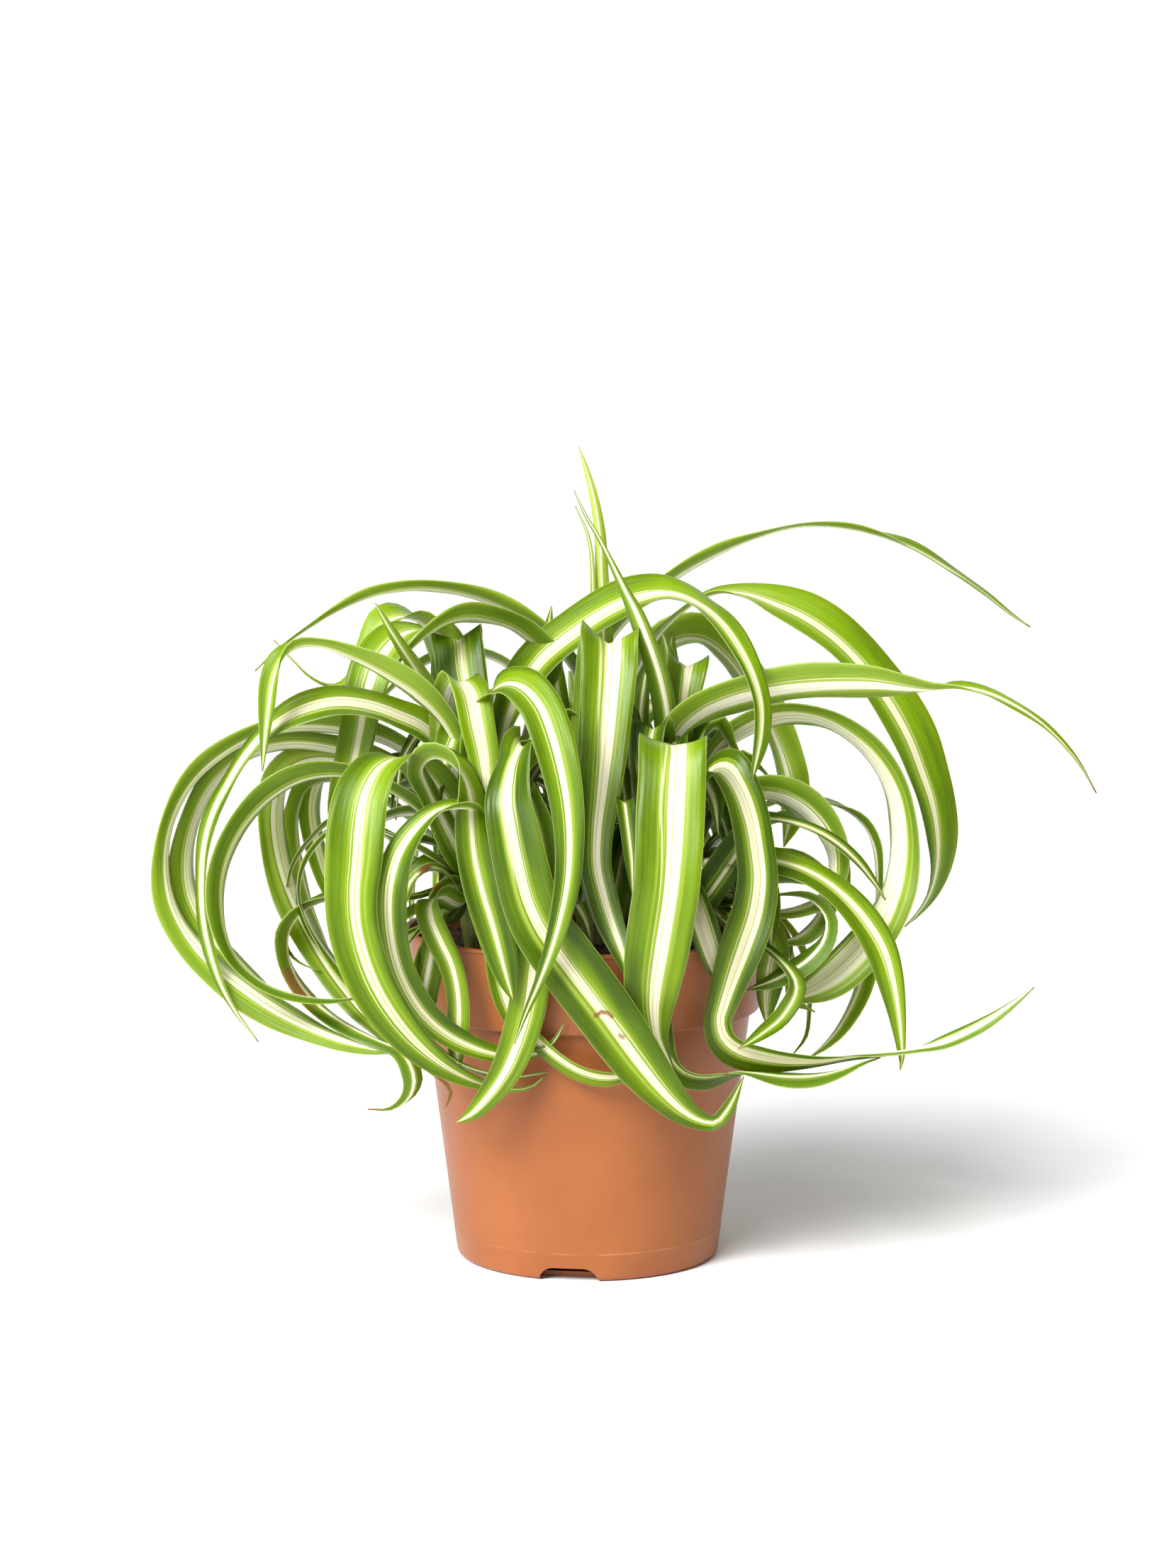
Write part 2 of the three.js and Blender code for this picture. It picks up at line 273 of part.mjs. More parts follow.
    [31.6, 174, -15, 3, 180]]],
  ['heart_leaf_3', 'right', 30, [[27.5, 160, -9, 8, 180], [27, 190, -11, 8, 180], [27, 200, -11, 5, 180],
    [28, 206.4, -11, 0.8, 180]]],
  ['dark_arch', 'right', 26, [[38, 140, 4, 9, -100], [44, 160, 2, 10, -100], [51, 164.8, 2, 10, -95],
    [57.5, 160.5, 3, 8, -90], [62.5, 154, 4, 2, -90]]],
  ['gap_leaf_1', 'right', 22, [[16, 135, 34, 6, 180], [12.5, 149, 44, 6, 120], [12.3, 150, 51, 6, 20],
    [13.6, 141, 54, 6, 0], [14.8, 130, 56, 6, 0], [14.8, 119, 56, 1, 0]]],
  ['gap_leaf_2', 'right', 28, [[17, 140, 18, 7, 150], [14.5, 160, 21, 7, 150], [14, 172, 23, 6, 170],
    [14, 179, 25, 1.5, 170]]],
  ['gap_spear', 'right', 34, [[21, 150, -2, 6, 170], [17.5, 175, -6, 6, 170], [18.5, 188, -7, 4, 170],
    [19.6, 195.5, -7, 0.8, 170]]],
  ['centre_fall', 'centre', 20, [[1, 150, 4, 17, 180], [4, 178, 6, 19, 180], [6, 196, 9, 20, 180],
    [7, 204.5, 14, 20, 172], [7.3, 203.5, 21, 19.5, 8], [7, 194, 26, 19, 0], [6, 180, 31, 17.8, 0],
    [4.8, 165, 36, 16.6, 0], [3.6, 152, 40, 14.5, 0], [2.4, 140, 43, 12, 0], [2.3, 129, 47, 11.4, 0],
    [4.4, 119, 52, 11, 0], [7.6, 109, 58, 9.5, 0], [11, 100, 62.5, 7, 0], [14.5, 89, 64, 1, 0]]],
  ['high_right_arch', 'centre', 30, [[-8, 150, -26, 12, -100], [-4, 180, -38, 13, -100],
    [5, 201, -43, 14, -105], [18, 216, -45, 14, -108], [30, 225.3, -45, 13, -108],
    [41.5, 231.6, -45, 12, -105], [54, 236.8, -45, 9, -100], [68, 240.6, -45, 7.5, -98],
    [82, 240.5, -45, 8, -95], [95, 237.8, -45, 9, -90], [106.5, 233.4, -45, 9.5, -80],
    [118.4, 226.3, -45, 8, -75], [130.3, 218, -45, 5, -72], [138, 211.8, -45, 2.5, -72],
    [144.5, 207.5, -45, 0.8, -72]]],
  ['great_right_arch', 'centre', 22, [[5, 155, -26, 14, -110], [12, 185, -29, 16, -105],
    [22, 204, -28, 15, -100], [33, 214.8, -24, 12, -95], [42, 219.2, -22, 11, -85],
    [52, 219, -20, 14, -65], [62, 216, -18, 17, -50], [71.5, 211.8, -16, 18, -45],
    [81.4, 205, -14, 18, -42], [91, 195.5, -12, 18.5, -40], [101, 182, -10, 18.5, -38],
    [106.8, 171.4, -9, 18.5, -38], [111, 160.5, -8, 18, -38], [114.3, 150.3, -7, 17, -40],
    [116.2, 139.3, -6, 15, -45], [115.8, 128.2, -5, 12, -58], [113, 119, -4, 8, -65],
    [109, 113, -4, 4.5, -70], [104.5, 108.4, -4, 1, -70]]],
  ['rear_ring', 'centre', 26, [[8, 150, -30, 14, -110], [16, 185, -38, 17, -120],
    [26, 203, -40, 18, -125], [37, 205.5, -40, 18, -125], [47, 198.5, -39, 18, -125],
    [54.5, 188, -38, 17.5, -125], [60.5, 177, -36, 16, -130], [65, 166, -34, 15, -135],
    [67.5, 155, -32, 14, -140], [67, 144, -30, 10, -140], [64.5, 135, -28, 3, -140]]],
  ['tall_spear', 'centre', 32, [[5, 160, -18, 8, 180], [5.5, 195, -22, 7, 180], [4.6, 225, -26, 4.6, 180],
    [4, 238, -28, 4, 180], [2, 250, -30, 3, 180], [-0.5, 259, -31, 1.8, 180],
    [-3, 266.3, -32, 0.8, 180]]],
  ['thin_spear', 'centre', 30, [[0, 160, -16, 5, 180], [1.5, 200, -22, 3, 180], [1.6, 226, -25, 1.6, 180],
    [0.2, 237, -26, 1.2, 180], [-4, 246.8, -27, 0.8, 180]]],
  ['long_left_arch', 'centre', 30, [[2, 160, -18, 12, 100], [-1, 188, -22, 14, 106],
    [-12, 203.9, -24, 14, 109], [-25, 213.2, -24, 13.5, 109], [-40, 218.9, -24, 12.5, 109],
    [-55, 220.8, -24, 12, 109], [-70, 218.4, -24, 9.4, 108], [-82, 213.2, -24, 6.2, 107],
    [-92, 207, -24, 4.4, 105], [-99.5, 201.6, -24, 3, 102], [-104.2, 197.6, -24, 1.8, 98],
    [-108.8, 193.1, -24, 0.8, 95]]],
  ['cream_arch', 'left', 28, [[-25, 155, -12, 12, 105], [-17, 182, -14, 14, 110],
    [-13.5, 197, -15, 15, 114], [-21.5, 206.8, -12, 15.5, 117], [-33, 211, -3, 15, 117],
    [-44, 210.6, 10, 12.5, 114], [-52, 206, 16, 10, 108], [-59.4, 199.2, 19, 7, 100],
    [-64.5, 191.5, 20, 2.5, 95]]],
  ['hidden_arch', 'centre', 26, [[-12, 160, -30, 12, 105], [-20, 188, -38, 14, 105],
    [-30, 197.5, -40, 14, 100], [-44, 199, -42, 14, 98], [-56, 194.5, -43, 13, 95],
    [-66, 186, -43, 11, 92], [-74, 176, -43, 8, 92], [-80, 168, -43, 2, 92]]],
  ['low_centre', 'centre', 24, [[-3, 114, 20, 5, -40], [-4, 116, 32, 5, -20], [-1, 110.5, 40, 4, -10],
    [1.3, 103, 43, 0.8, 0]]],
  ['behind_tip', 'centre', 30, [[-6, 160, -26, 6, 0], [-10, 190, -32, 6, 0], [-12.8, 204, -32, 5, 0],
    [-11.8, 214.4, -32, 0.8, 0]]],
];

// Leaves that arch backward: direction in degrees from +X, height and distance out
// of the top of the arch, distance out and height of the tip, width, sideways drift.
const BACK_LEAVES = [
  [88, 186, 40, 104, 92, 16, 10],
  [62, 176, 44, 98, 84, 15, -14],
  [118, 180, 44, 100, 78, 17, 14],
  [38, 158, 46, 88, 92, 14, 12],
  [144, 162, 46, 90, 88, 15, -12],
  [74, 142, 40, 74, 60, 13, 8],
  [105, 146, 42, 80, 52, 14, -8],
  [20, 140, 44, 70, 100, 11, 8],
  [160, 142, 44, 72, 98, 12, 10],
  [92, 160, 36, 62, 104, 12, -10],
  [50, 134, 38, 66, 76, 12, -6],
  [130, 130, 38, 68, 70, 12, 6],
];

const BACK_FOLD = 24;
const BACK_WIDTH_SHARES = [0.5, 0.55, 0.75, 0.95, 1, 0.9, 0.6, 0.08];

// A fold over the top of a blade starts where its faces turn away by more than this.
const FOLD_COSINE = -0.2;

const UP = new THREE.Vector3(0, 0, 1);

function toSolid(geometry) {
  geometry.deleteAttribute('normal');
  geometry.deleteAttribute('uv');
  const merged = mergeVertices(geometry, 1e-4);
  return new wasm.Manifold(new wasm.Mesh({
    numProp: 3,
    vertProperties: new Float32Array(merged.attributes.position.array),
    triVerts: new Uint32Array(merged.index.array),
  }));
}

// The outer skin of a joined body, solid inside: pockets sealed between crossing
// leaf bases are filled.
function outerBody(solid) {
  const shells = solid.decompose();
  return shells.reduce((most, shell) => (shell.volume() > most.volume() ? shell : most));
}

function toGeometry(solid) {
  const mesh = solid.getMesh();
  const geometry = new THREE.BufferGeometry();
  geometry.setAttribute('position', new THREE.BufferAttribute(mesh.vertProperties, 3));
  geometry.setIndex(new THREE.BufferAttribute(mesh.triVerts, 1));
  geometry.computeVertexNormals();
  return geometry;
}

function namedMesh(name, solid, color, roughness) {
  const material = new THREE.MeshStandardMaterial({ color, roughness, metalness: 0 });
  const mesh = new THREE.Mesh(toGeometry(solid), material);
  mesh.name = name;
  return mesh;
}

function lathe(profile, sides) {
  const points = profile.map(([radius, height]) => new THREE.Vector2(radius, height));
  const geometry = new THREE.LatheGeometry(points, sides);
  geometry.rotateX(Math.PI / 2);
  return toSolid(geometry);
}

// The pot's wall at a height, in the body or in the collar.
function bodyRadius(height) {
  return POT_BASE_RADIUS + WALL_SLOPE * (height - POT_CORNER);
}

function collarRadius(height) {
  return COLLAR_BOTTOM_RADIUS + WALL_SLOPE * (height - COLLAR_BOTTOM);
}

// A round-topped wedge pointing out along +X, for one drain channel.
function drainChannel(angle) {
  const half = CHANNEL_BOTTOM_WIDTH / 2;
  const topHalf = CHANNEL_TOP_WIDTH / 2;
  const shape = new THREE.Shape();
  shape.moveTo(-half, -1);
  shape.lineTo(half, -1);
  shape.lineTo(half, 0);
  shape.quadraticCurveTo(topHalf + 1.5, CHANNEL_HEIGHT, topHalf - 2, CHANNEL_HEIGHT);
  shape.lineTo(2 - topHalf, CHANNEL_HEIGHT);
  shape.quadraticCurveTo(-topHalf - 1.5, CHANNEL_HEIGHT, -half, 0);
  const length = CHANNEL_DEPTH + 4;
  const geometry = new THREE.ExtrudeGeometry(shape, {
    depth: length, bevelEnabled: false, curveSegments: 5,
  });
  geometry.rotateX(Math.PI / 2);
  geometry.rotateZ(Math.PI / 2);
  geometry.translate(POT_BASE_RADIUS - CHANNEL_DEPTH, 0, 0);
  geometry.rotateZ(THREE.MathUtils.degToRad(angle));
  return toSolid(geometry);
}

function makePot() {
  const outer = [
    [0, 0],
    [POT_BASE_RADIUS - POT_CORNER, 0],
    [POT_BASE_RADIUS - 0.5, 0.55],
    [POT_BASE_RADIUS, POT_CORNER],
    [bodyRadius(COLLAR_BOTTOM - 0.4), COLLAR_BOTTOM - 0.4],
    [COLLAR_BOTTOM_RADIUS - 0.4, COLLAR_BOTTOM],
    [COLLAR_BOTTOM_RADIUS, COLLAR_BOTTOM + 0.4],
    [collarRadius(LIP_BOTTOM), LIP_BOTTOM],
    [LIP_RADIUS, LIP_BOTTOM + 0.3],
    [LIP_RADIUS, POT_HEIGHT - 0.4],
    [LIP_RADIUS - 0.5, POT_HEIGHT],
  ];
  const inner = [
    [collarRadius(LIP_BOTTOM) - POT_WALL + 0.2, POT_HEIGHT],
    [collarRadius(LIP_BOTTOM) - POT_WALL, POT_HEIGHT - 0.5],
    [collarRadius(COLLAR_BOTTOM + 2) - POT_WALL, COLLAR_BOTTOM + 2],
    [bodyRadius(COLLAR_BOTTOM - 0.6) - POT_WALL, COLLAR_BOTTOM - 0.6],
    [POT_BASE_RADIUS - POT_WALL, POT_FLOOR + 0.4],
    [0, POT_FLOOR],
  ];
  let pot = lathe([...outer, ...inner], POT_SIDES);
  // Inside the pot each channel is roofed by the same wall, so the wall stays whole.
  for (let i = 0; i < CHANNEL_COUNT; i += 1) {
    const angle = CHANNEL_FIRST_ANGLE + i * 360 / CHANNEL_COUNT;
    pot = pot.add(channelRoof(angle)).subtract(drainChannel(angle));
  }
  return pot;
}

// The block of wall over a channel, inside the pot, let into the floor and the wall.
function channelRoof(angle) {
  const width = CHANNEL_BOTTOM_WIDTH + 2 * POT_WALL;
  const height = CHANNEL_HEIGHT + POT_WALL - POT_FLOOR + ROOF_SINK;
  const depth = CHANNEL_DEPTH - 0.4;
  const geometry = new THREE.BoxGeometry(depth, width, height);
  const outerFace = POT_BASE_RADIUS - POT_WALL / 2;
  geometry.translate(outerFace - depth / 2, 0, POT_FLOOR - ROOF_SINK + height / 2);
  geometry.rotateZ(THREE.MathUtils.degToRad(angle));
  return toSolid(geometry);
}

function makeSoil() {
  const bottom = CHANNEL_HEIGHT + POT_WALL + FIT_GAP;
  const gap = POT_WALL + FIT_GAP;
  let soil = lathe([
    [0, bottom],
    [bodyRadius(bottom) - gap, bottom],
    [bodyRadius(COLLAR_BOTTOM - 0.6) - gap, COLLAR_BOTTOM - 0.4],
    [collarRadius(COLLAR_BOTTOM + 2) - gap, COLLAR_BOTTOM + 2.4],
    [collarRadius(SOIL_TOP) - gap, SOIL_TOP + SOIL_EDGE_RISE],
    [50, SOIL_TOP + 0.4],
    [36, SOIL_TOP - 0.6],
    [18, SOIL_TOP + 0.3],
    [0, SOIL_TOP],
  ], SOIL_SIDES);
  for (const [x, y] of Object.values(CROWNS)) {
    const hole = new THREE.CylinderGeometry(
      CROWN_RADIUS + FIT_GAP, CROWN_RADIUS + FIT_GAP, SOIL_TOP - CROWN_FOOT + 10, CROWN_SIDES,
    );
    hole.rotateX(Math.PI / 2);
    hole.translate(x, y, (SOIL_TOP + CROWN_FOOT + 10) / 2 - FIT_GAP);
    soil = soil.subtract(toSolid(hole));
  }
  return soil;
}

function crownClump([x, y]) {
  const clump = lathe([
    [0, CROWN_FOOT],
    [CROWN_RADIUS, CROWN_FOOT],
    [CROWN_RADIUS, CROWN_SHOULDER],
    [CROWN_RADIUS - 2.5, CROWN_TOP - 4],
    [CROWN_RADIUS - 6, CROWN_TOP],
    [0, CROWN_TOP],
  ], CROWN_SIDES);
  return clump.translate([x, y, 0]);
}

// Where a station lies: on the ray from the eye, the given distance in front.
function stationPoint([x, z, toward]) {
  const scale = 1 + toward / EYE.y;
  return new THREE.Vector3(
    EYE.x + (x - EYE.x) * scale,
    -toward,
    EYE.z + (z - EYE.z) * scale,
  );
}

// A curve through the points, with an even speed from one to the next.
function curveThrough(points) {
  return new THREE.CatmullRomCurve3(points, false, 'centripetal');
}

function perpendicular(vector, axis) {
  return vector.clone().addScaledVector(axis, -vector.dot(axis)).normalize();
}

// The upper face's direction at a station, from its turn about the line of sight.
function upperFace(point, tangent, turn) {
  const sight = perpendicular(EYE.clone().sub(point), tangent);
  const side = tangent.clone().cross(sight);
  const angle = THREE.MathUtils.degToRad(turn);
  return sight.multiplyScalar(Math.cos(angle)).addScaledVector(side, Math.sin(angle));
}

// Between two stations; where a blade folds over its top, the upper face passes
// through upward on its way from the back to the front.
function blendFaces(before, after, t) {
  const face = before.clone().multiplyScalar(1 - t).addScaledVector(after, t);
  if (before.dot(after) < FOLD_COSINE) {
    face.addScaledVector(UP, 4 * t * (1 - t));
  }
  return face;
}

// The closed blade over a spine: at each section three points on the upper face and
// three on the lower, and every strip split along the same diagonal on both faces.
function bladeSolid(points, widths, faces, fold) {
  const curve = curveThrough(points);
  const spans = points.length - 1;
  const length = curve.getLength();
  const count = THREE.MathUtils.clamp(
    Math.round(length / SEGMENT_LENGTH), FEWEST_SEGMENTS, MOST_SEGMENTS,
  );
  const half = THREE.MathUtils.degToRad(fold);
  const vertices = [];
  for (let i = 0; i <= count; i += 1) {
    const place = curve.getUtoTmapping(i / count);
    const at = Math.min(place * spans, spans - 1e-6);
    const k = Math.floor(at);
    const t = at - k;
    const centre = curve.getPoint(place);
    const tangent = curve.getTangent(place);
    const up = perpendicular(blendFaces(faces[k], faces[k + 1], t), tangent);
    const side = tangent.clone().cross(up);
    const width = widths[k] * (1 - t) + widths[k + 1] * t;
    const radius = width / (2 * half);
    const reach = radius * Math.sin(half);
    const rise = radius * (1 - Math.cos(half));
    for (const sign of [1, -1]) {
      for (const across of [-1, 0, 1]) {
        const thickness = across === 0 ? MID_THICKNESS : EDGE_THICKNESS;
        vertices.push(centre.clone()
          .addScaledVector(side, across * reach)
          .addScaledVector(up, (Math.abs(across) - 0.5) * rise + sign * thickness / 2));
      }
    }
  }
  return toSolid(sectionsGeometry(vertices, count));
}

// Sections of six points: 0 1 2 across the upper face, 3 4 5 across the lower.
function sectionsGeometry(vertices, count) {
  const index = [];
  const quad = (a, b, c, d) => index.push(a, b, c, a, c, d);
  for (let i = 0; i < count; i += 1) {
    const here = 6 * i;
    const next = here + 6;
    for (const j of [0, 1]) {
      quad(here + j, here + j + 1, next + j + 1, next + j);
      index.push(here + j + 3, next + j + 4, here + j + 4);
      index.push(here + j + 3, next + j + 3, next + j + 4);
    }
    quad(here, next, next + 3, here + 3);
    quad(here + 2, here + 5, next + 5, next + 2);
  }
  const end = 6 * count;
  index.push(0, 3, 4, 0, 4, 1, 1, 4, 5, 1, 5, 2);
  index.push(end, end + 4, end + 3, end, end + 1, end + 4);
  index.push(end + 1, end + 5, end + 4, end + 1, end + 2, end + 5);
  const geometry = new THREE.BufferGeometry();
  const flat = vertices.flatMap((v) => [v.x, v.y, v.z]);
  geometry.setAttribute('position', new THREE.BufferAttribute(new Float32Array(flat), 3));
  geometry.setIndex(index);
  return geometry;
}

// Two points inside the crown that a leaf grows up from, leaning to its own side.
function rootPoints([x, y], target) {
  const lean = new THREE.Vector3(target.x - x, target.y - y, 0);
  const spread = Math.min(lean.length(), ROOT_SPREAD);
  lean.normalize().multiplyScalar(spread);
  return [
    new THREE.Vector3(x + lean.x * 0.5, y + lean.y * 0.5, ROOT_LOW),
    new THREE.Vector3(x + lean.x, y + lean.y, ROOT_HIGH),
  ];
}

function frontLeaf([, crown, fold, stations]) {
  const seen = stations.map(stationPoint);
  const points = [...rootPoints(CROWNS[crown], seen[0]), ...seen];
  const curve = curveThrough(points);
  const faces = points.map((point, i) => {
    const row = stations[Math.max(i - 2, 0)];
    return upperFace(point, curve.getTangent(i / (points.length - 1)), row[4]);
  });
  const widths = stations.map(([, , toward, width]) => width * (1 + toward / EYE.y));
  const rootWidth = Math.min(widths[0], ROOT_WIDTH);
  return bladeSolid(points, [rootWidth, rootWidth, ...widths], faces, fold);
}

function backLeaf([angle, topHeight, topOut, tipOut, tipHeight, width, drift]) {
  const [x, y] = CROWNS.rear;
  const turn = THREE.MathUtils.degToRad(angle);
  const out = new THREE.Vector3(Math.cos(turn), Math.sin(turn), 0);
  const across = new THREE.Vector3(-Math.sin(turn), Math.cos(turn), 0);
  const place = (reach, height, side) => new THREE.Vector3(x, y, height)
    .addScaledVector(out, reach).addScaledVector(across, side);
  const climb = topHeight - ROOT_HIGH;
  const points = [
    place(2, ROOT_LOW, 0),
    place(5, ROOT_HIGH, 0),
    place(topOut * 0.3, ROOT_HIGH + climb * 0.6, 0),
    place(topOut * 0.62, ROOT_HIGH + climb * 0.92, drift * 0.1),
    place(topOut, topHeight, drift * 0.25),
    place(topOut * 0.55 + tipOut * 0.45, topHeight - climb * 0.12, drift * 0.45),
    place(topOut * 0.15 + tipOut * 0.85, topHeight * 0.55 + tipHeight * 0.45, drift * 0.7),
    place(tipOut, tipHeight, drift),
  ];
  const curve = curveThrough(points);
  const faces = points.map((point, i) => {
    const tangent = curve.getTangent(i / (points.length - 1));
    const side = perpendicular(across, tangent);
    return side.cross(tangent).negate();
  });
  const widths = BACK_WIDTH_SHARES.map((share) => share * width);
  return bladeSolid(points, widths, faces, BACK_FOLD);
}

// Green of the foliage and brown of the soil, clay colour of the pot.
const LEAF_COLOR = 0x7fa33c;
const BACK_COLOR = 0x5f8a2c;
const SOIL_COLOR = 0x3a2a1e;
const POT_COLOR = 0xd4875a;

function makeCrown(name) {
  const blades = name === 'rear'
    ? BACK_LEAVES.map(backLeaf)
    : LEAVES.filter((leaf) => leaf[1] === name).map(frontLeaf);
  return outerBody(wasm.Manifold.union([crownClump(CROWNS[name]), ...blades]));
}

const plant = new THREE.Group();
plant.add(namedMesh('pot', makePot(), POT_COLOR, 0.45));
plant.add(namedMesh('soil', makeSoil(), SOIL_COLOR, 0.95));
for (const name of Object.keys(CROWNS)) {
  const color = name === 'rear' ? BACK_COLOR : LEAF_COLOR;
  plant.add(namedMesh('crown_' + name, makeCrown(name), color, 0.5));
}

export default plant;
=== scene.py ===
import math
import random

import bmesh
import bpy
import numpy as np
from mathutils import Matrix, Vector


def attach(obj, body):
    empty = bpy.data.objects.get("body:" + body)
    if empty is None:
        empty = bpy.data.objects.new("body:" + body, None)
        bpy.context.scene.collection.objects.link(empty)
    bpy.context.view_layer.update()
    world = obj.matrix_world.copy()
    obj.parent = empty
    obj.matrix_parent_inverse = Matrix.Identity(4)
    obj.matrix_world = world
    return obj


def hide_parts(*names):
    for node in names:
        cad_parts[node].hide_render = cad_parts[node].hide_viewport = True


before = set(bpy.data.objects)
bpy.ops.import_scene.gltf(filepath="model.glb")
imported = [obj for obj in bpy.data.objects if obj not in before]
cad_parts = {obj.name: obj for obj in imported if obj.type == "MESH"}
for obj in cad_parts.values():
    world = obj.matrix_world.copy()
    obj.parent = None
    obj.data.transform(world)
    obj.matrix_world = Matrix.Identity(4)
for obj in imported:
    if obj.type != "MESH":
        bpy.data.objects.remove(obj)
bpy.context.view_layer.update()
mm = 0.001

# Leaf stations are set out as seen from this point, in millimetres.
eye = np.array([0.117, -1133.65, 285.2])

crowns = {
    "left": [-34, -7],
    "right": [28, -8],
    "centre": [1, 13],
    "rear": [2, 38.5],
}

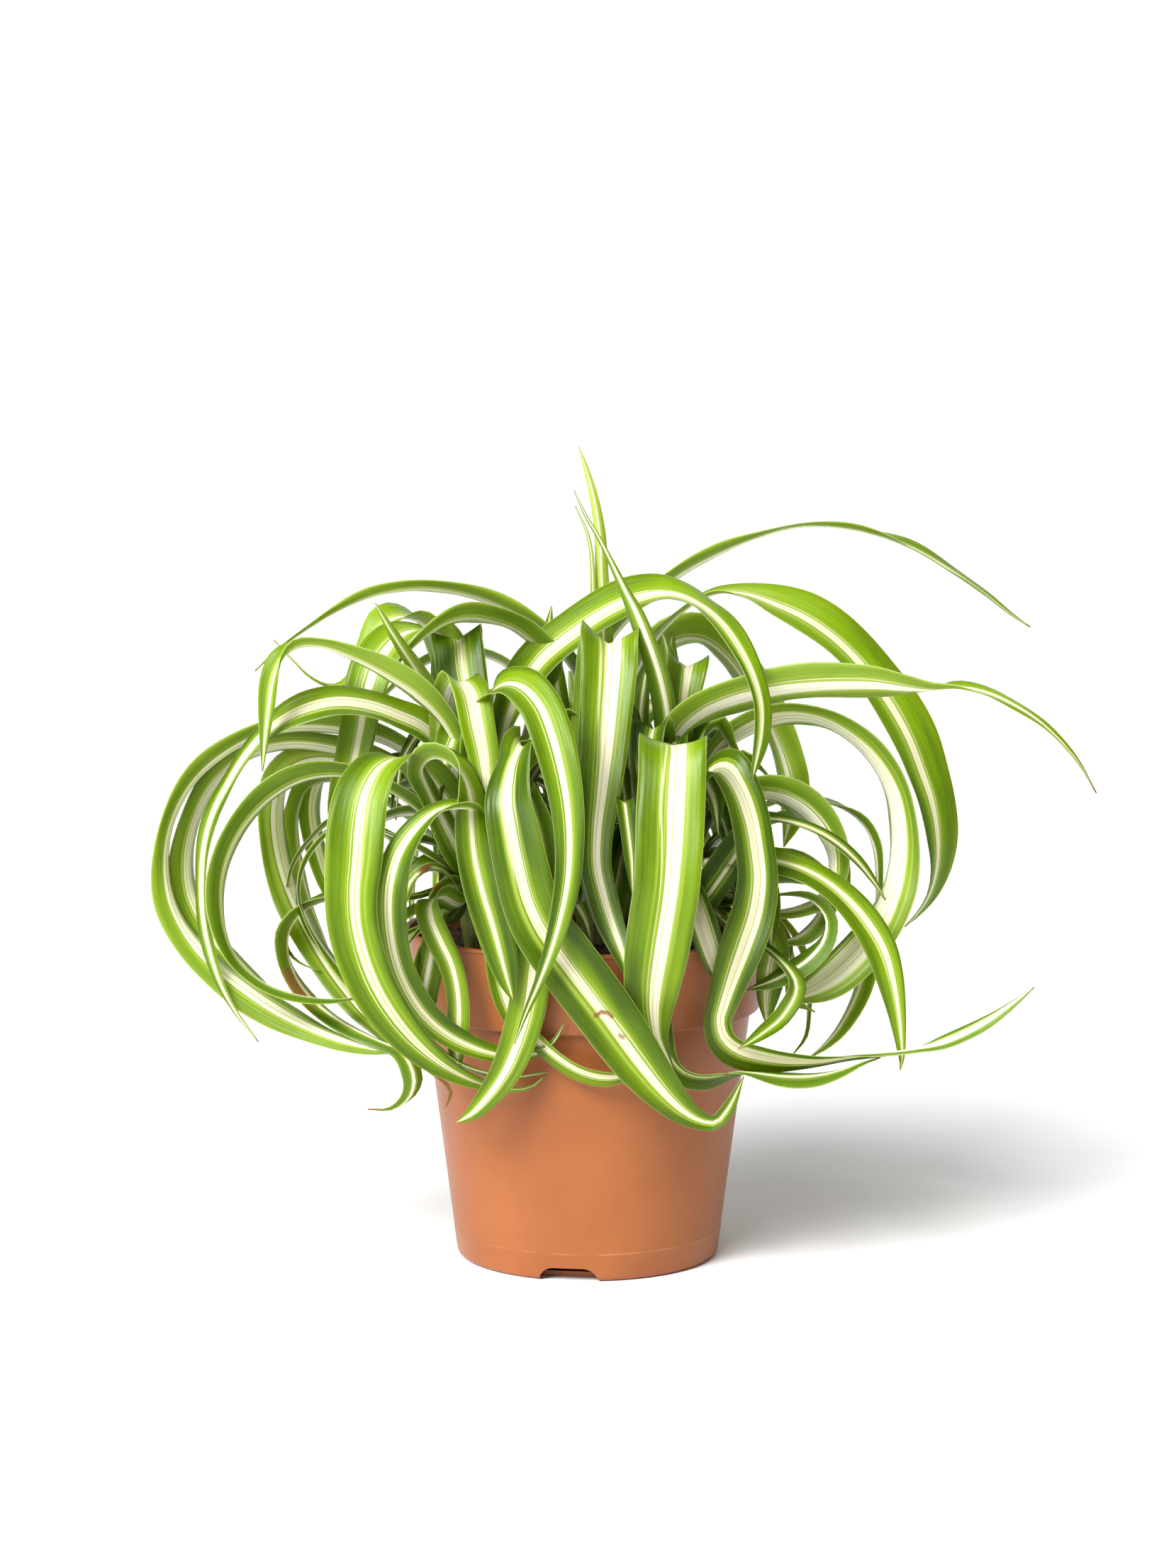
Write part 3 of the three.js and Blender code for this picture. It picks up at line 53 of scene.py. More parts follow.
# One row a leaf: name, crown, half angle of the channelled section in degrees, then
# stations [x, z, toward, width, turn]. x and z are where the station is seen on the
# upright plane through the pot's axis, toward is how far it lies in front of that
# plane, width is across the flattened blade. turn is the angle in degrees from the
# line of sight to the upper face: 0 shows the upper face, 180 the underside.
leaves = [
  ['outer_ring', 'left', 42, [[-44, 150, 4, 12, 108], [-62, 168.8, 4, 15, 113], [-84, 174.9, 4, 15, 115],
    [-103.8, 173.9, 4, 15, 112], [-118.8, 167.1, 5, 15, 109], [-130.6, 156.6, 6, 14, 108],
    [-138.1, 141.9, 8, 14, 109], [-139.7, 126, 10, 14, 114], [-136.3, 111.8, 14, 15, 122],
    [-127.6, 99, 18, 16, 131], [-114.3, 87.7, 22, 16, 136], [-99.3, 78, 26, 14, 138],
    [-84, 70.9, 30, 10, 133], [-72, 67.4, 32, 5.5, 125], [-62, 66.2, 34, 1, 115]]],
  ['second_ring', 'left', 42, [[-46, 146, -2, 12, 100], [-64, 161, -4, 14, 112], [-84, 168, -4, 15, 118],
    [-99.5, 169.3, -3, 15, 116], [-112.4, 165.6, -2, 15, 114], [-123.4, 156.4, -2, 15.5, 114],
    [-129.7, 144.5, -1, 16, 116], [-132.6, 131, 0, 16.5, 118], [-131.2, 118.3, 2, 16.5, 120],
    [-125, 106.6, 5, 16, 123], [-117.6, 97.8, 8, 14, 126], [-108.7, 88.8, 11, 11, 125],
    [-99.8, 80.6, 14, 8, 122], [-91.5, 75.8, 16, 2, 118]]],
  ['long_tail_arch', 'left', 22, [[-41, 152, 18, 13, 80], [-52, 173, 22, 16, 58],
    [-62.6, 178.7, 24, 17, 55], [-72, 181.9, 25, 17, 55], [-82, 182.9, 26, 17, 55],
    [-92, 180.8, 26, 16.5, 55], [-100, 177, 26, 15, 60], [-107, 171.5, 25, 13, 62],
    [-113, 164.3, 25, 11, 62], [-118, 156, 24, 9.5, 62], [-123, 146.5, 23, 8.5, 60],
    [-126, 136.5, 22, 8, 58], [-127.2, 124, 22, 7.8, 56], [-126.7, 111, 24, 7, 54],
    [-124.3, 99, 26, 5.5, 52], [-120.8, 88.5, 28, 4, 52], [-116, 79.5, 28, 2.8, 52],
    [-109, 69.9, 28, 0.8, 52]]],
  ['dark_ring', 'left', 38, [[-46, 138, 24, 11, 95], [-62, 153, 30, 13, 102], [-78, 159.4, 33, 15, 108],
    [-92, 159, 36, 16, 110], [-103, 153.8, 37, 17, 111], [-111.5, 145.8, 37, 18, 113],
    [-117.5, 136.3, 37, 18, 114], [-121, 126, 37, 16, 112], [-121.8, 115, 37, 15, 108],
    [-120, 104, 37, 14, 104], [-115.5, 95.5, 36, 13, 102], [-107.5, 88.8, 36, 11, 100],
    [-98, 85.2, 35, 9, 98], [-88, 83.7, 34, 7, 96], [-80, 83.9, 32, 4.5, 94], [-73, 85.5, 30, 1, 92]]],
  ['inner_ring', 'left', 34, [[-48, 140, -12, 12, 98], [-66, 156.5, -14, 15, 105],
    [-83.5, 164.3, -14, 17, 110], [-95, 162.6, -13, 18, 115], [-101, 156.3, -12, 18.5, 118],
    [-103, 147, -10, 18.5, 120], [-102.6, 137, -8, 18.5, 121], [-100.7, 127.3, -5, 18, 121],
    [-97.4, 117.5, -2, 17.5, 122], [-93, 107.8, 3, 17, 124], [-87.7, 98, 8, 16.5, 126],
    [-81.8, 89, 14, 14.5, 126], [-75.2, 80.4, 20, 11.5, 124], [-68.4, 73, 25, 7.5, 122],
    [-62.5, 66.5, 29, 2, 118]]],
  ['far_drop', 'left', 25, [[-44, 140, -24, 10, 95], [-62, 158, -30, 12, 100], [-80, 163, -32, 12, 110],
    [-88.5, 158, -32, 12, 118], [-91, 149, -32, 12, 125], [-90, 139, -31, 12, 130],
    [-87.5, 129, -28, 11, 130], [-84.5, 120, -24, 9, 130], [-82, 112, -20, 3, 130]]],
  ['near_drop', 'left', 30, [[-48, 136, -18, 10, 95], [-66, 150, -22, 12, 95], [-82, 157.5, -24, 12, 95],
    [-92, 156.5, -24, 12, 105], [-96.3, 147, -23, 11, 115], [-96.6, 136.5, -21, 11, 118],
    [-95, 126, -18, 10, 118], [-92, 115, -14, 9, 118], [-88, 105, -10, 7, 118], [-84, 96, -6, 2, 118]]],
  ['thin_curl', 'left', 32, [[-54, 134, 30, 8, 90], [-70, 141.5, 30, 8, 88], [-82, 141.8, 28, 7, 85],
    [-90, 135.3, 26, 7, 85], [-94.5, 127, 25, 7, 85], [-95.6, 118, 25, 7, 85], [-93, 109.5, 26, 7, 90],
    [-88, 101.5, 28, 7, 95], [-82, 93.5, 30, 7, 100], [-76, 85.5, 32, 6, 100], [-69, 76, 34, 5, 100],
    [-62, 68, 36, 1.5, 100]]],
  ['tendril', 'left', 30, [[-60, 119, 4, 6, 90], [-76, 121.5, 8, 6, 90], [-88, 118.6, 10, 5, 90],
    [-95.3, 114.5, 11, 4.5, 90], [-99.4, 108.5, 12, 3.5, 90], [-99.6, 102.5, 13, 3, 90],
    [-96.8, 97.8, 14, 2.2, 90], [-92.3, 95, 15, 1.5, 90], [-88, 93.5, 16, 0.8, 90]]],
  ['hooked_tail', 'left', 30, [[-60, 118, 16, 8, 90], [-80, 119, 20, 10, 92], [-93, 115.5, 20, 12, 97],
    [-99.5, 108, 19, 12, 100], [-100, 99.5, 19, 12, 104], [-97, 91, 20, 12, 112], [-92, 84, 22, 12, 118],
    [-85, 78, 24, 11, 118], [-77, 73.3, 27, 9, 118], [-69, 69.6, 31, 6, 118], [-63, 66.9, 33, 5, 128],
    [-59.3, 62.5, 34, 8, 150], [-57.7, 57, 34, 8, 165], [-59.5, 51.5, 33, 5, 140],
    [-65, 47.5, 32, 4, 100], [-73, 47.3, 31, 0.8, 80]]],
  ['back_left', 'left', 28, [[-56, 130, -4, 8, 90], [-72, 143, -4, 8, 92], [-83, 144.5, -4, 7.5, 95],
    [-91, 138, -3, 7, 100], [-97, 129, -2, 6, 100], [-99.5, 120, -1, 1.5, 100]]],
  ['shoulder_fall', 'left', 18, [[-38, 160, -6, 13, 170], [-42, 190, -8, 16, 150],
    [-50, 206.5, -4, 17, 110], [-61, 206, 2, 17, 60], [-69, 197, 8, 16, 30], [-73, 186, 12, 14, 15],
    [-75, 175, 14, 12.5, 8], [-77, 165, 15, 12, 5], [-79.5, 155, 16, 11, 5], [-82, 146, 17, 8, 5],
    [-84, 138, 18, 3, 5]]],
  ['high_curl', 'left', 18, [[-36, 165, -28, 13, 170], [-46, 198, -28, 15, 140], [-56, 211, -24, 15, 100],
    [-65, 210.5, -20, 14, 50], [-71, 201, -16, 11, 30], [-75.5, 192.5, -12, 7, 60],
    [-82, 187.8, -10, 4, 90], [-90, 190.5, -9, 3.2, 90], [-97, 197.3, -9, 2.2, 90],
    [-102.5, 203.2, -9, 0.8, 90]]],
  ['drop_tip_arch', 'left', 34, [[-38, 155, 24, 13, 90], [-46, 176, 30, 17, 110],
    [-55, 185.5, 32, 18, 115], [-66, 193, 33, 18, 112], [-77, 198.6, 34, 16, 108],
    [-87, 202, 34, 13, 103], [-95.5, 202, 34, 10, 95], [-101, 197.5, 34, 9, 60],
    [-103.8, 189.5, 34, 8, 35], [-105, 180.5, 34, 6.5, 30], [-105.9, 171.5, 34, 4, 30],
    [-106.7, 160, 34, 0.8, 30]]],
  ['broad_fold', 'left', 14, [[-42, 165, -14, 16, 180], [-43, 191, -14, 17, 178], [-43, 204, -9, 17, 160],
    [-42.5, 204.5, 0, 17, 15], [-41.5, 195, 7, 17, 5], [-40, 185, 12, 16, 0], [-38.5, 172, 16, 14, 0],
    [-37, 159, 18, 10, 0], [-35.5, 147, 18, 3, 0]]],
  ['left_spear', 'left', 38, [[-40, 155, 6, 7, 180], [-48, 180, 16, 7, 175], [-54.5, 191.5, 22, 6, 175],
    [-60.5, 200.5, 27, 4.5, 175], [-65.5, 208.5, 31, 3, 175], [-69.3, 215.3, 34, 0.8, 175]]],
  ['wide_front_fall', 'left', 14, [[-42, 140, 28, 14, 160], [-52, 158, 42, 17, 140],
    [-61, 165.5, 52, 18, 100], [-69, 162, 60, 18, 45], [-74, 152.5, 66, 19, 20], [-76, 142, 70, 19.5, 8],
    [-77, 131, 73, 19.5, 3], [-78, 120, 75, 17.5, 0], [-77.5, 109, 76, 17, 0], [-75, 98.5, 76, 16.5, 0],
    [-70.8, 88, 75, 15.5, 0], [-65, 78.5, 73, 14, 0], [-58, 70, 70, 11.5, 0], [-50, 63, 66, 8.5, 0],
    [-42, 58.3, 60, 5.5, 0], [-33, 55, 53, 3.5, 20], [-24, 53.8, 51, 2.5, 50], [-18.5, 55, 51, 2, 50],
    [-14, 58.8, 52, 0.8, 50]]],
  ['over_arch', 'left', 24, [[-44, 136, 34, 11, -150], [-53, 154, 46, 10, -130],
    [-55.5, 161.5, 52, 10, -110], [-50, 166.2, 58, 14, -100], [-42.5, 163, 62, 16, -85],
    [-38.3, 153, 64, 14, -50], [-38, 143, 65, 13, -25], [-37, 132, 66, 13, -10],
    [-34.5, 120.5, 67, 13, 0], [-31.3, 109.5, 67, 13, 0], [-28.4, 98.5, 67, 11, 0], [-26, 89, 66, 6.5, 0],
    [-24.5, 83.5, 66, 1.5, 0]]],
  ['sweep_under', 'left', 22, [[-33, 132, 42, 9, 140], [-35.5, 145.5, 58, 8, 110],
    [-41, 149.2, 68, 8, 95], [-49, 147.5, 70, 9.5, 75], [-56, 141.5, 71, 11, 50],
    [-61.5, 133, 71, 12, 30], [-64.3, 123.5, 71, 11.5, 12], [-65, 114, 70, 11, 3],
    [-64.3, 104.5, 69, 10.5, 0], [-62.3, 95.5, 67, 10, -5], [-58.5, 86.5, 65, 9.8, -5],
    [-53, 78.5, 63, 9.5, 0], [-45.5, 72.2, 60, 8.5, 0], [-37, 68, 57, 7, 0], [-29, 65.8, 54.5, 5.5, 0],
    [-21.5, 65.3, 54.5, 4, 10], [-15.5, 66.8, 56.5, 2.8, 20], [-11, 70.5, 58, 1.8, 30],
    [-7.6, 76.8, 58.5, 0.8, 30]]],
  ['front_hook', 'left', 22, [[-43, 116, 36, 9, 140], [-49, 119, 48, 9, 110], [-52.5, 116.5, 55, 9, 40],
    [-51.8, 110.5, 57, 9, 10], [-48.8, 103.5, 58, 9, 5], [-45.3, 96, 58, 8, 0], [-43.2, 87, 58, 7.5, 0],
    [-42.8, 78, 57, 8, 0], [-43.3, 69, 56, 7.5, 0], [-43.2, 63.5, 55, 4, 0], [-42.4, 60, 54, 0.8, 0]]],
  ['cream_back', 'left', 16, [[-44, 114, 30, 8, 170], [-49, 112, 44, 9, 150], [-50.5, 103, 50, 9, 170],
    [-52, 95, 52, 9, 180], [-53.8, 86, 52, 9, 180], [-54.5, 77, 51, 7.5, 180], [-54, 69.5, 50, 3, 180]]],
  ['small_arch', 'left', 26, [[-41, 121, 20, 8, 120], [-46, 123, 26, 9, 100], [-50.5, 119.5, 30, 8, 95],
    [-52.5, 113, 32, 5, 95], [-52, 107, 33, 1, 95]]],
  ['rim_leaf', 'left', 26, [[-46, 114, 14, 9, 95], [-55, 114.5, 20, 10, 100], [-61, 111, 24, 9, 110],
    [-65, 104, 26, 2, 110]]],
  ['rim_tip', 'left', 24, [[-48, 111, 24, 6, 100], [-55, 107.5, 34, 6, 105], [-60, 102, 39, 1.5, 105]]],
  ['low_sweep', 'left', 28, [[-48, 108, 40, 7, 110], [-56, 98, 50, 7, 95], [-58.5, 86, 54, 7, 80],
    [-56, 76, 55, 7, 70], [-50, 68.3, 55, 6.5, 70], [-42, 62.5, 54, 5.5, 72], [-33, 59.3, 53, 5, 75],
    [-25, 58, 53, 4, 75], [-18.5, 58.9, 53.5, 2.5, 75], [-13, 59.8, 54, 0.8, 75]]],
  ['dry_tip', 'left', 26, [[-52, 110, 30, 5, 100], [-64, 102, 38, 5, 100], [-70, 88, 42, 4.5, 100],
    [-66, 74, 44, 4, 90], [-59, 65, 45, 3.2, 90], [-52, 59.5, 46, 2.6, 80], [-47, 56, 46, 2, 60],
    [-45.3, 53.5, 46, 1.6, 20], [-45.9, 50.5, 46, 1.4, 0], [-47.2, 47.8, 46, 0.8, 0]]],
  ['cross_fall', 'left', 20, [[-32, 135, 34, 12, 180], [-25, 148, 47, 13, 175],
    [-20.5, 150.5, 57, 13, 20], [-17.5, 142, 61, 12.5, 0], [-15.3, 130, 62, 12.5, 0],
    [-15.5, 116, 63, 12.5, 0], [-17.3, 103, 63, 13, 0], [-18.7, 92, 63, 13, 0], [-20, 81.5, 62, 13, 0],
    [-22.8, 71, 61, 12.3, 0], [-27, 60.5, 60, 10.5, 0], [-33, 51.5, 59, 8, 0], [-39, 45.3, 58, 5, 0],
    [-43.8, 42.7, 58, 1.5, 0]]],
  ['peak_fold', 'left', 22, [[-42, 148, 18, 12, 180], [-45.6, 170, 22, 12.5, 180],
    [-45.2, 184, 30, 12.5, -175], [-42.2, 190.8, 38, 12.5, -110], [-38.6, 186.5, 45, 13, -25],
    [-36, 174.5, 50, 12, -8], [-34, 164, 52, 10.5, -5], [-33.3, 155, 53, 7, 0],
    [-33.8, 147.5, 53, 2.5, 0]]],
  ['long_front', 'left', 20, [[-37, 150, 26, 13, -150], [-36, 175, 36, 14, -130],
    [-31, 187.5, 44, 13, -80], [-22.5, 188.8, 54, 15, -45], [-15.8, 182, 61, 15, -20],
    [-11.8, 172, 66, 14.5, -8], [-8.8, 160.5, 69, 13, 0], [-6.8, 149, 71, 11.5, 0], [-6, 137, 73, 10, 0],
    [-6.5, 125, 74, 9, 0], [-8.7, 113, 75, 7.5, 0], [-12, 101, 76, 5.5, 0], [-16, 90, 76, 3.6, 0],
    [-20.5, 79.5, 75, 2, 0], [-24.3, 69, 74, 0.8, 0]]],
  ['great_front', 'left', 18, [[-32, 142, 30, 13, 160], [-25.5, 160, 38, 14, 140],
    [-20.5, 169, 46, 14, 110], [-22.5, 168.5, 55, 14, 65], [-25, 160, 62, 15, 40],
    [-25.8, 150, 67, 16.5, 20], [-24.2, 140, 69, 18, 10], [-22, 129, 70, 18.5, 5], [-19, 117, 71, 19, 3],
    [-14.6, 107.5, 71, 20, 0], [-8.6, 99, 70, 20.8, 0], [-2, 90, 69, 20.8, 0], [4.7, 81, 68, 20.4, 0],
    [11.2, 71.7, 67, 19.6, 0], [17.8, 62.3, 66, 17.5, 0], [25, 53.3, 65, 13.5, 0], [32, 46.5, 63, 9.5, 0],
    [38, 43.2, 61, 5.5, 10], [42.5, 42.9, 60.5, 5, 15], [46.5, 47.5, 61, 5.3, 20],
    [51.7, 58.3, 61, 0.8, 30]]],
  ['pot_sweep', 'left', 36, [[-33, 125, 34, 9, 180], [-32.5, 127, 46, 9, 20], [-31.5, 115, 54, 9, 0],
    [-30, 100, 58, 9, 0], [-28.3, 88, 58, 8.5, 5], [-24.5, 78, 57.5, 7.5, 25],
    [-17.5, 70.8, 57.5, 7.5, 34], [-10, 64.3, 58, 7.5, 42], [-2, 59.5, 58, 7.5, 44],
    [6, 57.7, 58, 7.2, 44], [13, 58.6, 58, 5, 52], [20, 61.5, 57, 1, 70]]],
  ['top_arch', 'left', 20, [[-31, 152, -4, 15, -90], [-26, 180, -6, 18, -60], [-17, 196, -7, 19, -48],
    [-5, 206.3, -7, 19, -45], [8, 214.6, -5, 19, -48], [19, 218.4, 1, 17.5, -52], [29, 218.6, 9, 14, -60],
    [37.5, 214.8, 17, 10, -60], [44.3, 209, 25, 9, -45], [50, 201, 33, 8.5, -35],
    [54.8, 191, 39, 7.6, -30], [57.2, 181.5, 43, 7, -30], [57, 171.5, 45, 6.2, -30],
    [55.4, 163.5, 46, 4, -30], [54, 157.8, 46, 0.8, -30]]],
  ['widest_front', 'right', 12, [[28, 145, 22, 18, 180], [28, 162, 34, 22, 180],
    [28, 169.5, 46, 22.5, 170], [28, 168, 56, 22.5, 10], [27.7, 158, 63, 22.5, 3], [27.2, 146, 67, 23, 0],
    [26.8, 134, 70, 22.5, 0], [26, 122, 72, 22, 0], [24.3, 110, 72, 22, 0], [22.6, 99, 70, 21.5, 0],
    [21.2, 88, 65, 18.5, 0], [21, 79, 60, 14.5, 0], [22.5, 71, 57.5, 9, 0], [25.5, 65.5, 56.5, 4.5, 0],
    [28.2, 61.3, 56, 1, 0]]],
  ['right_front', 'right', 24, [[34, 140, 20, 13, -110], [38.5, 158, 30, 14, -75],
    [44.5, 161.5, 38, 15, -50], [49.5, 155, 43, 15, -35], [53, 145.5, 46, 14, -22],
    [55, 135, 48, 13.5, -12], [56, 124, 49, 13.8, -5], [54.5, 113, 50, 15, 0], [51.3, 103, 52, 15.5, 0],
    [47.8, 93, 53, 13.5, 5], [44.8, 83.5, 53, 10.5, 5], [43.2, 77, 52, 9, 15], [44.8, 71, 51, 11, 30],
    [49.5, 67, 50, 13.5, 40], [57, 64.7, 49, 14, 50], [66, 63.3, 48, 12.5, 58], [76, 63.1, 47, 9, 66],
    [88, 64.8, 46, 5, 75], [97, 65.7, 46, 2.5, 85], [106, 66.8, 47, 3.5, 105], [118, 69.8, 49, 8, 130],
    [130, 75.5, 51, 7.5, 130], [140, 82.3, 53, 4, 130], [147.6, 88.3, 54, 0.8, 130]]],
  ['under_curl', 'right', 30, [[30, 125, 32, 8, 180], [29, 128, 46, 8, 20], [27.5, 116, 56, 8, 0],
    [25.5, 100, 60, 8, 0], [24, 86, 57, 8, 0], [24.4, 74, 53.5, 8, 10], [27.2, 63.6, 54, 8.5, 35],
    [31.6, 58.9, 55, 9, 48], [37.4, 57.2, 55, 9, 52], [43.2, 57.8, 54, 9, 62], [49.1, 58.9, 52, 9.5, 88],
    [56, 58.6, 50, 11.5, 108], [65, 57.6, 49, 12.5, 114], [75, 57.8, 48, 12, 112], [84, 59.8, 47, 8, 106],
    [91, 62.6, 46, 4, 100], [97, 64.6, 45, 0.8, 100]]],
  ['level_reach', 'right', 28, [[25.5, 145, 6, 12, -120], [25.5, 165, 10, 13, -125],
    [30, 174, 14, 15, -128], [38, 180.3, 18, 17.5, -130], [48, 184.3, 22, 18, -131],
    [60, 187.2, 25, 18, -131], [72, 188.8, 28, 18, -132], [84, 189.4, 30, 17.5, -132],
    [95, 189.2, 32, 16, -132], [104, 188.1, 34, 12.5, -125], [112.5, 187.4, 35, 8.5, -105],
    [121, 188.1, 36, 8, -75], [130.5, 186.2, 37, 7.5, -65], [139, 182.4, 38, 6.5, -62],
    [148, 176.6, 38, 4.8, -62], [156, 169, 38, 3, -62], [162, 161.5, 38, 1.8, -62],
    [167.1, 152.8, 38, 0.8, -62]]],
  ['right_ring', 'right', 30, [[33, 142, -2, 14, -105], [41, 165, -2, 15, -112], [52, 174, 0, 16, -118],
    [64, 178.3, 3, 16, -118], [76, 177.5, 6, 15, -115], [86.5, 172, 9, 17, -112],
    [95, 163.5, 11, 19, -112], [101, 152.5, 13, 20, -115], [103.2, 140, 15, 21, -118],
    [102.6, 128, 17, 21, -120], [99.5, 116.5, 20, 21, -125], [94, 106, 22, 20, -135],
    [87, 97.5, 24, 19, -142], [79.5, 91, 26, 17, -145], [72, 86.5, 28, 11, -145],
    [66, 83.5, 30, 2, -145]]],
  ['light_fall', 'right', 20, [[38, 121, 18, 12, -55], [47, 128, 24, 12, -50], [57, 130.5, 30, 12, -50],
    [67, 128.8, 35, 12, -48], [76, 124.7, 38, 12, -42], [84.5, 118, 40, 12.5, -35],
    [91.3, 110, 42, 12, -28], [96.7, 101, 43, 11.2, -20], [99.9, 91, 44, 9.8, -15],
    [102, 81, 44, 6.8, -10], [103.4, 71, 44, 4, -8], [104, 64, 44, 2, -8], [103.6, 60.4, 44, 0.8, -8]]],
  ['turned_ring', 'right', 30, [[38, 140, 8, 12, -105], [50, 152, 12, 15, -112],
    [60, 153.5, 15, 18, -120], [69, 150, 17, 20, -122], [77, 142.5, 19, 19, -120],
    [81.5, 133, 21, 17, -118], [81.2, 124, 23, 14.5, -116], [77, 117.5, 25, 12, -114],
    [70.5, 114.4, 26, 10, -112], [64, 113.2, 26, 8, -110], [56, 113.5, 26, 6, -108],
    [48, 115, 26, 2, -105]]],
  ['thin_reach', 'right', 26, [[40, 136, 8, 8, -80], [52, 143.5, 16, 8, -75], [62, 144.3, 24, 8, -70],
    [72, 142, 30, 8, -65], [81, 137.3, 34, 7.5, -62], [89, 130.2, 36, 6, -60], [94.5, 123, 37, 4, -60],
    [98.2, 117.3, 38, 0.8, -60]]],
  ['back_hook', 'right', 26, [[46, 140, -12, 9, -95], [60, 149.5, -14, 10, -90],
    [72, 151.2, -14, 10, -85], [82, 149.3, -14, 10, -80], [90, 144.2, -13, 10, -95],
    [94.5, 136, -12, 9, -110], [95.8, 126, -10, 8, -110], [95.5, 116, -8, 6, -110],
    [93.5, 108, -6, 1.5, -110]]],
  ['low_hook', 'right', 26, [[48, 120, -6, 8, -95], [66, 124, -4, 9, -100], [82, 119.5, 0, 10, -105],
    [90.5, 109, 4, 10.5, -112], [92.3, 98, 7, 11, -118], [90.8, 88.5, 10, 11, -122],
    [87.3, 80, 13, 10.5, -122], [82.5, 72.5, 15, 8, -120], [78, 68, 17, 4.5, -118],
    [73.3, 64.5, 18, 0.8, -118]]],
  ['return_leaf', 'right', 22, [[46, 116, 22, 7, -70], [62, 119.5, 30, 7, -85], [74, 118, 34, 7, -95],
    [79.5, 111.5, 36, 7, -110], [78.3, 103.5, 37, 9, -130], [73, 97.3, 38, 10, -140],
    [66.5, 93, 40, 9, -145], [60, 89.8, 42, 6, -145], [52.5, 87.3, 43, 0.8, -145]]],
  ['rim_drop', 'right', 16, [[46, 113, 26, 8, -60], [57, 109.5, 34, 10, -40], [61.5, 101, 37, 10, -20],
    [60.5, 92, 38, 10, 0], [59.5, 84, 38, 8, 10], [59.3, 75.3, 38, 0.8, 10]]],
  ['short_curl', 'right', 24, [[49, 117, 12, 7, -80], [61, 112.5, 16, 8, -90], [67, 103, 19, 9, -100],
    [67.5, 92, 21, 8, -60], [69.5, 84, 23, 5, 40], [75.3, 79.9, 26, 0.8, 90]]],
  ['thin_hook', 'right', 24, [[49, 117, 2, 6, -95], [61, 113.5, 5, 7, -100], [69, 104, 7, 6.5, -105],
    [73, 92, 9, 6, -105], [73.2, 80, 10, 5.5, -105], [72, 71.5, 11, 4, -105],
    [67.8, 65.4, 12, 0.8, -105]]],
  ['slant_leaf', 'right', 20, [[48, 108, 34, 6, -70], [62, 99, 44, 7, -60], [69, 89, 49, 7, -30],
    [64.5, 79, 51, 6.5, -10], [57, 72.5, 56, 5, -10], [50, 67.5, 60, 1, -10]]],
  ['cross_spear', 'right', 38, [[26.8, 145, 12, 9, 178], [26.3, 168, 14, 9, 178], [25, 182, 16, 8.5, 178],
    [22.5, 193, 18, 8, 178], [19.5, 202, 20, 7, 178], [15.8, 211.5, 20, 6, 178],
    [12, 219.5, 20, 3.5, 178], [7.8, 228.3, 19, 2.2, 178], [3.5, 236.8, 18, 1.6, 178],
    [-0.5, 243.5, 17, 1.2, 178], [-4.4, 251.8, 16, 0.8, 178]]],
  ['heart_leaf_1', 'right', 30, [[28.5, 150, -2, 9, 180], [28, 178, -4, 9, 180], [27, 190, -3, 8.5, 180],
    [26, 199, -1, 5, 180], [24.4, 205.8, 2, 0.8, 180]]],
  ['heart_leaf_2', 'right', 24, [[30, 150, 4, 8, 0], [29.6, 172, 6, 9.5, 0], [31, 186, 6, 13, 0],
    [32.4, 195.6, 2, 14.5, 8], [32.6, 195.4, -6, 14, 172], [32.2, 186, -12, 11, 180],
    [31.6, 174, -15, 3, 180]]],
  ['heart_leaf_3', 'right', 30, [[27.5, 160, -9, 8, 180], [27, 190, -11, 8, 180], [27, 200, -11, 5, 180],
    [28, 206.4, -11, 0.8, 180]]],
  ['dark_arch', 'right', 26, [[38, 140, 4, 9, -100], [44, 160, 2, 10, -100], [51, 164.8, 2, 10, -95],
    [57.5, 160.5, 3, 8, -90], [62.5, 154, 4, 2, -90]]],
  ['gap_leaf_1', 'right', 22, [[16, 135, 34, 6, 180], [12.5, 149, 44, 6, 120], [12.3, 150, 51, 6, 20],
    [13.6, 141, 54, 6, 0], [14.8, 130, 56, 6, 0], [14.8, 119, 56, 1, 0]]],
  ['gap_leaf_2', 'right', 28, [[17, 140, 18, 7, 150], [14.5, 160, 21, 7, 150], [14, 172, 23, 6, 170],
    [14, 179, 25, 1.5, 170]]],
  ['gap_spear', 'right', 34, [[21, 150, -2, 6, 170], [17.5, 175, -6, 6, 170], [18.5, 188, -7, 4, 170],
    [19.6, 195.5, -7, 0.8, 170]]],
  ['centre_fall', 'centre', 20, [[1, 150, 4, 17, 180], [4, 178, 6, 19, 180], [6, 196, 9, 20, 180],
    [7, 204.5, 14, 20, 172], [7.3, 203.5, 21, 19.5, 8], [7, 194, 26, 19, 0], [6, 180, 31, 17.8, 0],
    [4.8, 165, 36, 16.6, 0], [3.6, 152, 40, 14.5, 0], [2.4, 140, 43, 12, 0], [2.3, 129, 47, 11.4, 0],
    [4.4, 119, 52, 11, 0], [7.6, 109, 58, 9.5, 0], [11, 100, 62.5, 7, 0], [14.5, 89, 64, 1, 0]]],
  ['high_right_arch', 'centre', 30, [[-8, 150, -26, 12, -100], [-4, 180, -38, 13, -100],
    [5, 201, -43, 14, -105], [18, 216, -45, 14, -108], [30, 225.3, -45, 13, -108],
    [41.5, 231.6, -45, 12, -105], [54, 236.8, -45, 9, -100], [68, 240.6, -45, 7.5, -98],
    [82, 240.5, -45, 8, -95], [95, 237.8, -45, 9, -90], [106.5, 233.4, -45, 9.5, -80],
